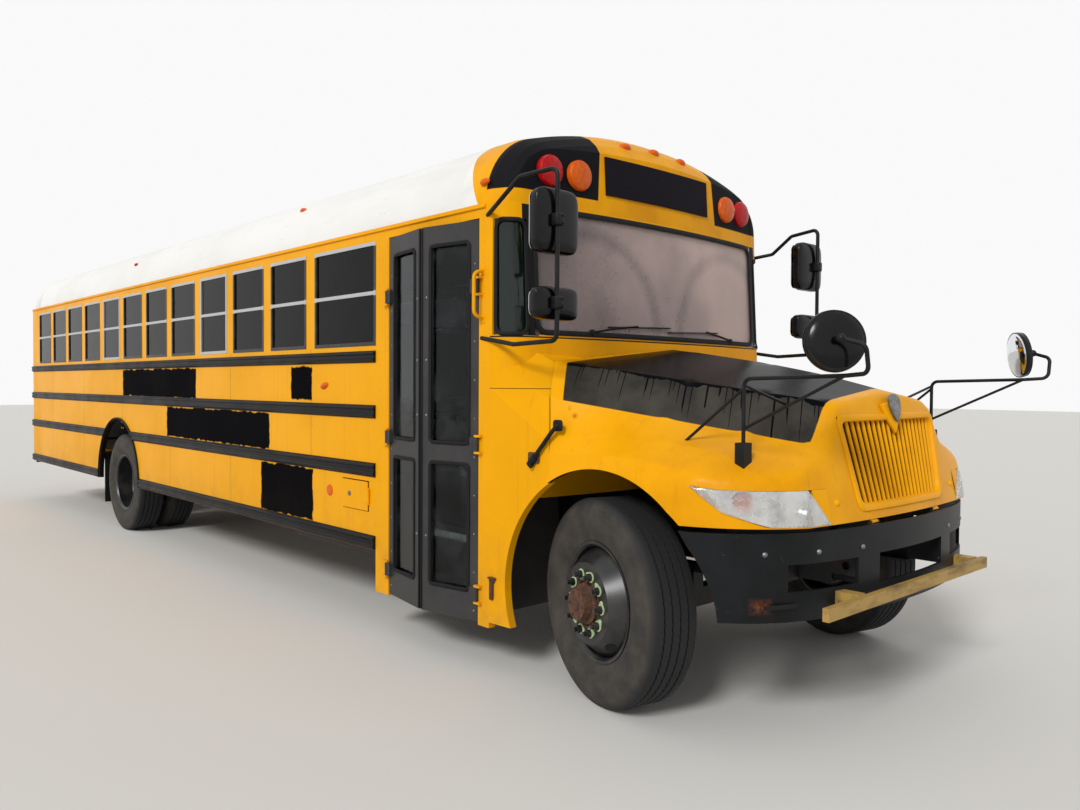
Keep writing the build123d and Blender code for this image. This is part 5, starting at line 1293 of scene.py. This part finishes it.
back = [
    (-17, 120), (-18, 125), (-10, 126.5), (4, 125), (14, 118), (22, 104), (28, 80), (32, 50),
    (34, 24), (34, 0),
]
face = [(-15, 0), (-15, 121), (-20, 119), (-27, 104), (-33, 80), (-38, 44), (-40, 0)]
cross_backs, cross_faces = [], []
for side in both_sides:
    stand = (1117.0, side * 1015.0, 1762.0), (0.75, side * 0.65, 0.12), 64
    cross_backs.append(turned(back, *stand))
    cross_faces.append(turned(face, *stand))
piece("cross_view_mirror_backs", cross_backs, mirror_shell, "hood", 50)
piece("cross_view_mirror_lenses", cross_faces, mirror_glass, "hood", 50)


# Hood fittings
def circle_points(first, second, third, count):
    """Points of the arc through three points in plan."""
    ux, uy, radius, start, end = circle_through(first, second, third)
    turn = start + ((end - start + pi) % (2 * pi) - pi) * np.linspace(0, 1, count)
    return np.stack([ux + radius * np.cos(turn), uy + radius * np.sin(turn)], -1)


lamp_upper = [(530.0, 1144.0), (640.0, 1130.0), (1000.0, 1124.0)]
lamp_inner = 668.0
lamp_lower = [(530.0, 1144.0), (650.0, 1034.0), (800.0, 972.0), (1000.0, 968.0)]
mid_lean = nose_lean * 50
nose_side, nose_tip = 900 - mid_lean, nose_front - mid_lean
fender_arc = circle_points((430, 1207), (735 - mid_lean * 0.8, 1052), (nose_side, 819), 60)
nose_arc = circle_points((nose_side, 819), (nose_tip, 0), (nose_side, -819), 60)
inner_x = np.interp(lamp_inner, nose_arc[::-1, 1], nose_arc[::-1, 0])
lamp_plan = np.concatenate([
    fender_arc[fender_arc[:, 0] > 531],
    nose_arc[1:][nose_arc[1:, 1] > lamp_inner + 1],
    [[inner_x, lamp_inner + 0.6]],
])
lamp_way = unit(np.gradient(lamp_plan, axis=0))
lamp_out = np.stack([-lamp_way[:, 1], lamp_way[:, 0]], -1)
lamp_out = lamp_out * np.sign((lamp_out * lamp_plan).sum(-1, keepdims=True))
lamp_follow = np.interp(lamp_plan[:, 0], [430, 735, 890], [0.0, 0.8, 1.0])


def lamp_skin(outer, inner, margin, part="lens", rows=14):
    """A closed skin in the headlamp opening: along the plan arcs of fender and nose, and up
    between the opening's edges; it leans back with height. outer and inner are its two faces'
    distances off the body. The lens ends at a slant, and the corner is what it leaves."""
    kept = lamp_plan[:, 1] < (782 if part == "corner" else half_width)
    plan, out, follow = lamp_plan[kept], lamp_out[kept], lamp_follow[kept]
    low = np.interp(plan[:, 0], *np.array(lamp_lower).T) + margin
    high = np.interp(plan[:, 0], *np.array(lamp_upper).T) - margin
    slant = 975 + (plan[:, 1] - lamp_inner - 6) * 1.35
    if part == "lens":
        high = np.minimum(high, slant - 2)
    if part == "corner":
        low = np.maximum(low, slant + 2)
    high = np.maximum(high, low + 0.5)
    rise = np.linspace(0, 1, rows)
    faces = []
    for off, order in ((outer, rise), (inner, rise[::-1])):
        z = low[:, None] + order * (high - low)[:, None]
        reach = off + np.sin(order * pi) * (4.0 if off > 0 else 0.0)
        xy = plan[:, None] + out[:, None] * reach[:, None]
        x = xy[..., 0] - nose_lean * (z - 1050) * follow[:, None]
        faces.append(np.stack([x, xy[..., 1], z], -1))
    grid = np.concatenate(faces, 1)
    outer_end = np.repeat(grid[:1].mean(1, keepdims=True), grid.shape[1], 1)
    return np.concatenate([outer_end, grid]), False, True


lenses, housings, corners, bowls, amber_bowls = [], [], [], [], []
for side in both_sides:
    for collection, sheet in (
        (lenses, lamp_skin(1.5, -4.0, 1.0)),
        (corners, lamp_skin(0.5, -8.0, 0.5, "corner")),
        (housings, lamp_skin(-52.0, -56.0, 1.0, "back")),
    ):
        collection.append(on_side(sheet, side))
    for collection, spot, z, radius, depth in (
        (bowls, 58, 1052.0, 60, 34), (bowls, 44, 1052.0, 52, 30), (amber_bowls, 22, 1074.0, 40, 26)
    ):
        spot = spot if spot < len(lamp_plan) else -12
        middle = (*(lamp_plan[spot] - lamp_out[spot] * 44), z)
        profile = [
            (0, 0), (1, radius * 0.35), (depth * 0.4, radius * 0.75), (depth, radius),
            (depth + 1.5, radius + 3), (depth - 2, radius + 3), (-3, radius * 0.5), (-4, 0),
        ]
        collection.append(on_side(turned(profile, middle, (*lamp_out[spot], 0.1), 40), side))
piece("headlamp_lenses", lenses, clear_lens, "hood", 50, ["headlamps"])
piece("headlamp_corners", corners, plain_enamel, "hood", 50)
piece("headlamp_housings", housings, chrome, "hood", 50)
piece("headlamp_bowls", bowls, chrome, "hood", 60)
piece("turn_signal_bowls", amber_bowls, amber_lens, "hood", 60)


triangle_sides = [[0, 1], [1, 2], [2, 0]]


def halved(at, corners, longest):
    """Triangles with every edge over longest cut at its middle, again and again. A triangle's
    three sides have a middle point or not, and it is cut in four, three or two accordingly."""
    while True:
        ends = np.sort(corners[:, triangle_sides], -1)
        code, which = np.unique(ends[..., 0] * len(at) + ends[..., 1], return_inverse=True)
        first, last = np.divmod(code, len(at))
        cut = np.linalg.norm(at[first] - at[last], axis=1) > longest
        if not cut.any():
            return at, corners
        middle = np.where(cut, len(at) + np.cumsum(cut) - 1, -1)[which].reshape(-1, 3)
        at = np.concatenate([at, (at[first] + at[last])[cut] / 2])
        number = (middle >= 0).sum(1)
        shift = np.where(number == 1, (middle >= 0).argmax(1), (middle < 0).argmax(1) + 1)
        order = (np.arange(3) + np.where(number % 3 > 0, shift, 0)[:, None]) % 3
        a, b, c = np.take_along_axis(corners, order, 1).T
        ab, bc, ca = np.take_along_axis(middle, order, 1).T
        patterns = {
            0: [(a, b, c)],
            1: [(a, ab, c), (ab, b, c)],
            2: [(ab, b, bc), (a, ab, bc), (a, bc, c)],
            3: [(a, ab, ca), (ab, b, bc), (ca, bc, c), (ab, bc, ca)],
        }
        chosen = ((number == key, pattern) for key, cuts in patterns.items() for pattern in cuts)
        corners = np.concatenate([np.stack(pattern, -1)[mask] for mask, pattern in chosen])


def softened(node_name, name, finish, body, longest, rounds, keep):
    """A pressed or moulded skin with its edges rounded: the CAD node's surface, its doubles merged
    and its edges halved until none is over longest mm, and then each point drawn to the mean of
    its neighbours in turn, out = out + 0.5 * pull * (mean - out), with pull 0 on the rims that
    keep() holds and 1 elsewhere."""
    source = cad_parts[node_name]
    soup = bmesh.new()
    soup.from_mesh(source.data)
    soup.transform(source.matrix_world)
    bmesh.ops.remove_doubles(soup, verts=soup.verts, dist=5e-5)
    bmesh.ops.triangulate(soup, faces=soup.faces)
    mesh = bpy.data.meshes.new(name)
    soup.to_mesh(mesh)
    soup.free()
    at = np.empty(len(mesh.vertices) * 3)
    mesh.vertices.foreach_get("co", at)
    corners = np.empty(len(mesh.polygons) * 3, int)
    mesh.polygons.foreach_get("vertices", corners)
    at, corners = halved(at.reshape(-1, 3), corners.reshape(-1, 3), longest / 1000)
    ends = np.unique(np.sort(corners[:, triangle_sides].reshape(-1, 2), -1), axis=0)
    both = np.concatenate([ends, ends[:, ::-1]])
    count = np.bincount(both[:, 0], minlength=len(at))[:, None]
    pull = keep(at * 1000 - [axle_x * 1000, 0, 0])[:, None]
    for _ in range(rounds):
        total = [np.bincount(both[:, 0], at[both[:, 1], k], len(at)) for k in range(3)]
        total = np.stack(total, -1)
        at = at + 0.5 * pull * (total / count - at)
    mesh.clear_geometry()
    mesh.from_pydata(at.tolist(), [], corners.tolist())
    mesh.materials.clear()
    return finished(mesh, finish, body, 50, [node_name])


def hood_pull(points):
    """1 on the open skin; 0 at its rims: the wheel arches, the underside, the rear split, the
    headlamp openings and the grille opening."""
    x, y, z = points.T
    wide = np.abs(y)
    off_arch = (np.abs(np.hypot(x, z - hub_z) - 665.0) - 6) / 70
    off_foot = (z - 1004) / 60
    split = np.interp(z, [600, 1285, 1513, 1714, 1842], [-352, -349, -393, -520, -533])
    off_split = (x - split - 34) / 50
    low = np.interp(x, *np.array(lamp_lower).T)
    high = np.interp(x, *np.array(lamp_upper).T)
    beside = np.maximum(np.maximum(530 - x, lamp_inner - wide), 0)
    off_lamp = np.hypot(beside, np.maximum(np.maximum(low - z, z - high), 0))
    off_lamp = (off_lamp - 8) / 55
    edge = np.interp(z, [1012, 1440], [432, 500])
    off_grille = np.maximum(np.maximum(wide - edge, z - 1440), 1012 - z)
    off_grille = np.where(x > 740, (off_grille - 8) / 45, 1.0)
    least = np.min([off_arch, off_foot, off_split, off_lamp, off_grille], axis=0)
    return np.clip(least, 0.0, 1.0)


softened("hood", "hood_skin", hood_enamel, "hood", 34.0, 9, hood_pull)


def nose_x(y, z):
    """Front face of the hood."""
    return nose_front - nose_lean * (z - 1000.0) - nose_bow * y**2


def grille_edge(z):
    """Half width of the grille opening at a height."""
    return 432.0 + (z - 1012.0) * 68.0 / 428.0


# Twenty rounded bars fan out from the foot of the opening to its head, over a near-black sheet of
# painted shadow
bar_profile = [(-34, -8), (-8, -9), (2, -6), (5, 0), (2, 6), (-8, 9), (-34, 8)]
bar_heights = np.linspace(1034, 1418, 14)
bars = []
for share in np.linspace(-0.925, 0.925, 20):
    rows = []
    for z in bar_heights:
        y = share * (grille_edge(z) - 8)
        rows.append([(nose_x(y + w, z) - 12 + d, y + w, z) for d, w in bar_profile])
    bars.append(capped(rows))
piece("grille_bars", bars, grille_enamel, "hood", 50, ["grille"])

opening = np.array([(-434.0, 1014.0), (434.0, 1014.0), (498.0, 1438.0), (-498.0, 1438.0)])


def rounded_opening(inset, corner, count=160):
    """The grille opening's outline, inset, with its corners cut by an arc, in even steps."""
    middle = np.array([0.0, 1226.0])
    corners = opening + np.sign(middle - opening) * inset
    steps = []
    for k in range(4):
        before, at, after = corners[k - 1], corners[k], corners[(k + 1) % 4]
        first, last = at + unit(before - at) * corner, at + unit(after - at) * corner
        t = np.linspace(0, 1, 9)[:, None]
        steps.append((1 - t) ** 2 * first + 2 * t * (1 - t) * at + t**2 * last)
    return evenly(np.concatenate(steps), count)


frame_rings = []
for inset, out in (
    (26, -40), (24, -10), (17, 6), (6, 10), (-6, 9), (-12, 2), (-8, -2), (2, -8), (3, -40)
):
    y, z = rounded_opening(inset, 52).T
    frame_rings.append(np.stack([nose_x(y, z) + out, y, z], -1))
frame_sheet = np.stack(frame_rings), True, True
piece("grille_frame", [frame_sheet], plain_enamel, "hood", 40)
# A near-black sheet 44 mm behind the nose: painted shadow in the grille opening
shadow_sheet_z = np.linspace(1020, 1432, 9)[:, None]
shadow_sheet_y = np.linspace(-1, 1, 25) * (grille_edge(shadow_sheet_z) - 6)
front_side = np.stack([nose_x(shadow_sheet_y, shadow_sheet_z) - 44, shadow_sheet_y, shadow_sheet_z + 0 * shadow_sheet_y], -1)
shadow_sheet = np.concatenate([front_side, (front_side - [5, 0, 0])[::-1]])
piece("grille_shadow_sheet", [(shadow_sheet, True, False)], hole_shadow_black, "hood", 60)

# Bare shield over the grille, in a V-shaped yellow point
shield = np.array([
    (0, -72), (22, -52), (44, -22), (56, 14), (58, 46), (46, 60), (24, 68), (0, 72),
    (-24, 68), (-46, 60), (-58, 46), (-56, 14), (-44, -22), (-22, -52),
], float)
point = np.array([
    (0, -120), (34, -84), (70, -38), (104, 14), (112, 24), (60, 34), (0, 40), (-60, 34), (-112, 24),
    (-104, 14), (-70, -38), (-34, -84),
], float)
lean_up = (-nose_lean, 0, 1)
raised_point = plate(point, (864, 0, 1468), (0, 1, 0), lean_up, 14, 8)
piece("grille_point", [raised_point], plain_enamel, "hood", 25)
badge = plate(shield, (886, 0, 1476), (0, 1, 0), lean_up, 12, 6)
piece("bare_shield", [badge], bare_steel, "hood", 25)
knobs = []
for side in both_sides:
    out = (0.97, side * 0.12, 0.2)
    knobs.append(dome((912, side * 607, 1058), out, (0, 1, 0), 17, 17, 14))
for side in both_sides:
    knobs.append(dome((-224, side * 1166, 1466), (0, side, 0.3), (1, 0, 0), 13, 13, 6))
piece("hood_knobs", knobs, plain_enamel, "hood", 60)

latches, keepers = [], []
for side in both_sides:
    top, low = np.array([-286.0, side * 1196, 1372]), np.array([-452.0, side * 1212, 1186])
    way = unit(low - top)
    strap = [top, top + way * 40 + [0, side * 9, 0], low - way * 50 + [0, side * 6, 0], low]
    latches.append(tube(strap, 13, 20, 10, 0.55))
    latches.append(tube([low - way * 34, low + way * 30], 21, 10, 12, 0.7))
    latches.append(tube([low + [-10, 0, -4], low + [-22, side * 2, -22]], 30, 8, 10, 0.35))
    seat = (top[0], side * 1186, top[2] + 4)
    latches.append(plate(rectangle(64, 58, 16, 4, 24), seat, (-side, 0, 0), (0, 0, 1), 10, 4))
    latches.append(dome(top + [0, side * 2, 2], (0, side, 0.3), (1, 0, 0), 17, 17, 12))
    seat = (-452, side * 1198, 1204)
    keepers.append(plate(rectangle(84, 56, 10, 4, 24), seat, (-side, 0, 0), (0, 0, 1), 8, 3))
    keepers.append(soft_box((-782, side * 1216, 506), (-738, side * 1228, 536), 4))
    keepers.append(soft_box((-772, side * 1218, 412), (-748, side * 1236, 512), 6))
    hook = [(-790, side * 1224, 528), (-760, side * 1236, 531), (-728, side * 1222, 528)]
    keepers.append(tube(hook, 6, 14, 8))
piece("hood_latches", latches, window_rubber, "hood", 40)
piece("latch_keepers", keepers, rusty_steel, "bus_body", 40)

# Door, steps and side fittings
leaf_width = 436.0
# The hinge line of each closed leaf, its hinged edge, the way to its free edge, how it stands ajar
leaves = {
    "front": (np.array([-888.0, -1233.0, 0]), -891.0, -1, radians(10)),
    "rear": (np.array([-1782.0, -1233.0, 0]), -1779.0, 1, radians(-10)),
}
for word, (hinge, edge, way, ajar) in leaves.items():
    rings = []
    for low, high in ((430.0, 1130.0), (1250.0, 2370.0)):
        ring = rectangle(leaf_width - 114, high - low + 26, 26, 5, 70)
        at = (edge + way * leaf_width / 2, -1214.0, (low + high) / 2)
        rings.append(framed(ring, at, (1, 0, 0), (0, 0, 1), 22, 8))
    seam = edge + way * (leaf_width - 1)
    rings.append(soft_box((seam - 7, -1221, 268), (seam + 7, -1180, 2480), 5))
    piece(
        f"door_{word}_rubbers", [swung(s, ajar, hinge) for s in rings], window_rubber,
        f"entry_leaf_{word}", 30,
    )
    out = (0, -1, 0)
    studs = rivets([(seam - way * 34, -1215, z) for z in (1720, 2080, 1400, 700)], out, 8, 4)
    column = [(edge + way * 28, -1215, z) for z in np.arange(320, 2460, 214.0)]
    studs += rivets(column, out, 6, 3)
    piece(
        f"door_{word}_screws", [swung(s, ajar, hinge) for s in studs], bare_steel,
        f"entry_leaf_{word}", 60,
    )

grab_run = [(-848, y, z) for y, z in ((-1214, 1940), (-1285, 1958), (-1285, 2186), (-1214, 2204))]
grab = tube(grab_run, 10, 26)
feet = [soft_box((-862, -1224, z - 26), (-834, -1217, z + 26), 3) for z in (1940, 2204)]
piece("entry_grab_handle", [grab] + feet, plain_enamel, "bus_body", 40)
rail_run = [(-1640, -1105, 372), (-1640, -1105, 1090), (-1650, -900, 1190), (-1650, -700, 1020)]
hand_rail = tube(rail_run, 16, 60, 14)
piece("entry_hand_rail", [hand_rail], bright_aluminium, "bus_body", 40)
noses = [
    soft_box((-1758, -1168, 345), (-868, -1138, 364), 5),
    soft_box((-1758, -906, 600), (-868, -874, 644), 6),
    soft_box((-1758, -668, 966), (-868, -636, 1014), 6),
]
piece("white_step_edges", noses, nosing_white, "bus_body", 40)
latch = turned([(0, 17), (4, 17), (6, 12), (6, 0)], (-2245, -1227, 852), (0, -1, 0), 24)
piece("fuel_door_latch", [latch], bare_steel, "fuel_door")

# Bolts in the bumper's face: place on it, and the X and Y of the way that it faces there
bolt_places = (
    (795, 992, 856, 0.8, 0.6), (913, 751, 856, 0.93, 0.37), (970, 464, 852, 0.99, 0.1)
)
bolts = []
for side in both_sides:
    for x, y, z, out_x, out_y in bolt_places:
        at = (x - 4 * out_x, side * (y - 4 * out_y), z)
        bolts.append(dome(at, (out_x, side * out_y, 0), (0, 0, 1), 14, 14, 12, 16))
piece("bumper_bolts", bolts, bare_steel, "bus_body", 60)
# A torn slot in the bumper, shown by a thin near-black plate: painted shadow in the hole
tear = plate(rectangle(170, 20, 9, 5, 40), (846, -944, 632), (0.42, 0.9, 0), (0, 0, 1), 2, -1)
piece("bumper_tear_shadow", [tear], hole_shadow_black, "bus_body")


# Camera, light and floor
camera = bpy.data.cameras.new("photo_camera")
camera.lens = 29.11
camera.sensor_width = 36.0
camera.clip_end = 300.0
camera_object = placed("photo_camera", camera)
yaw, pitch, roll = radians(137.30), radians(-1.34), radians(0.33)
ahead = Vector((cos(yaw) * cos(pitch), sin(yaw) * cos(pitch), sin(pitch)))
right = ahead.cross(Vector((0, 0, 1))).normalized()
up = right.cross(ahead)
level_right = cos(roll) * right + sin(roll) * up
level_up = -sin(roll) * right + cos(roll) * up
stand = Matrix((level_right, level_up, -ahead)).transposed().to_4x4()
stand.translation = Vector((axle_x + 2.87905, -4.23265, 1.58153))
camera_object.matrix_world = stand
bpy.context.scene.camera = camera_object

world = bpy.data.worlds.new("studio")
bpy.context.scene.world = world
world.use_nodes = True
sky = world.node_tree
sky.nodes.clear()
seen = add_node(sky, "LightPath", {}, "Is Camera Ray")
shiny = sky.nodes[-1].outputs["Is Glossy Ray"]
through = sky.nodes[-1].outputs["Is Transmission Ray"]
shown = add_node(sky, "Math", {0: seen, 1: shiny}, operation="MAXIMUM")
shown = add_node(sky, "Math", {0: shown, 1: through}, operation="MAXIMUM")
strength = add_node(sky, "MapRange", {"Value": shown, "To Min": 0.5, "To Max": 0.95})
backdrop = add_node(sky, "Background", {"Color": (1, 1, 1, 1), "Strength": strength})
add_node(sky, "OutputWorld", {"Surface": backdrop})

sun = bpy.data.lights.new("key", "SUN")
sun.energy = 1.9
sun.angle = radians(16)
sun_object = placed("key", sun)
sun_object.rotation_euler = Vector((0.30, -0.80, 0.60)).to_track_quat("Z", "Y").to_euler()

stage_floor = bpy.data.meshes.new("floor")
reach = 60.0
corners = [(-reach, -reach, 0), (reach, -reach, 0), (reach, reach, 0), (-reach, reach, 0)]
stage_floor.from_pydata(corners, [], [(0, 1, 2, 3)])
floor_object = placed("floor", stage_floor)
floor_finish = bpy.data.materials.new("pale_studio_floor")
floor_finish.use_nodes = True
floor_finish.node_tree.nodes.clear()
surface(floor_finish.node_tree, Base_Color=linear("e2e0db"), Roughness=0.9)
stage_floor.materials.append(floor_finish)

view = bpy.context.scene.view_settings
view.view_transform = "Standard"
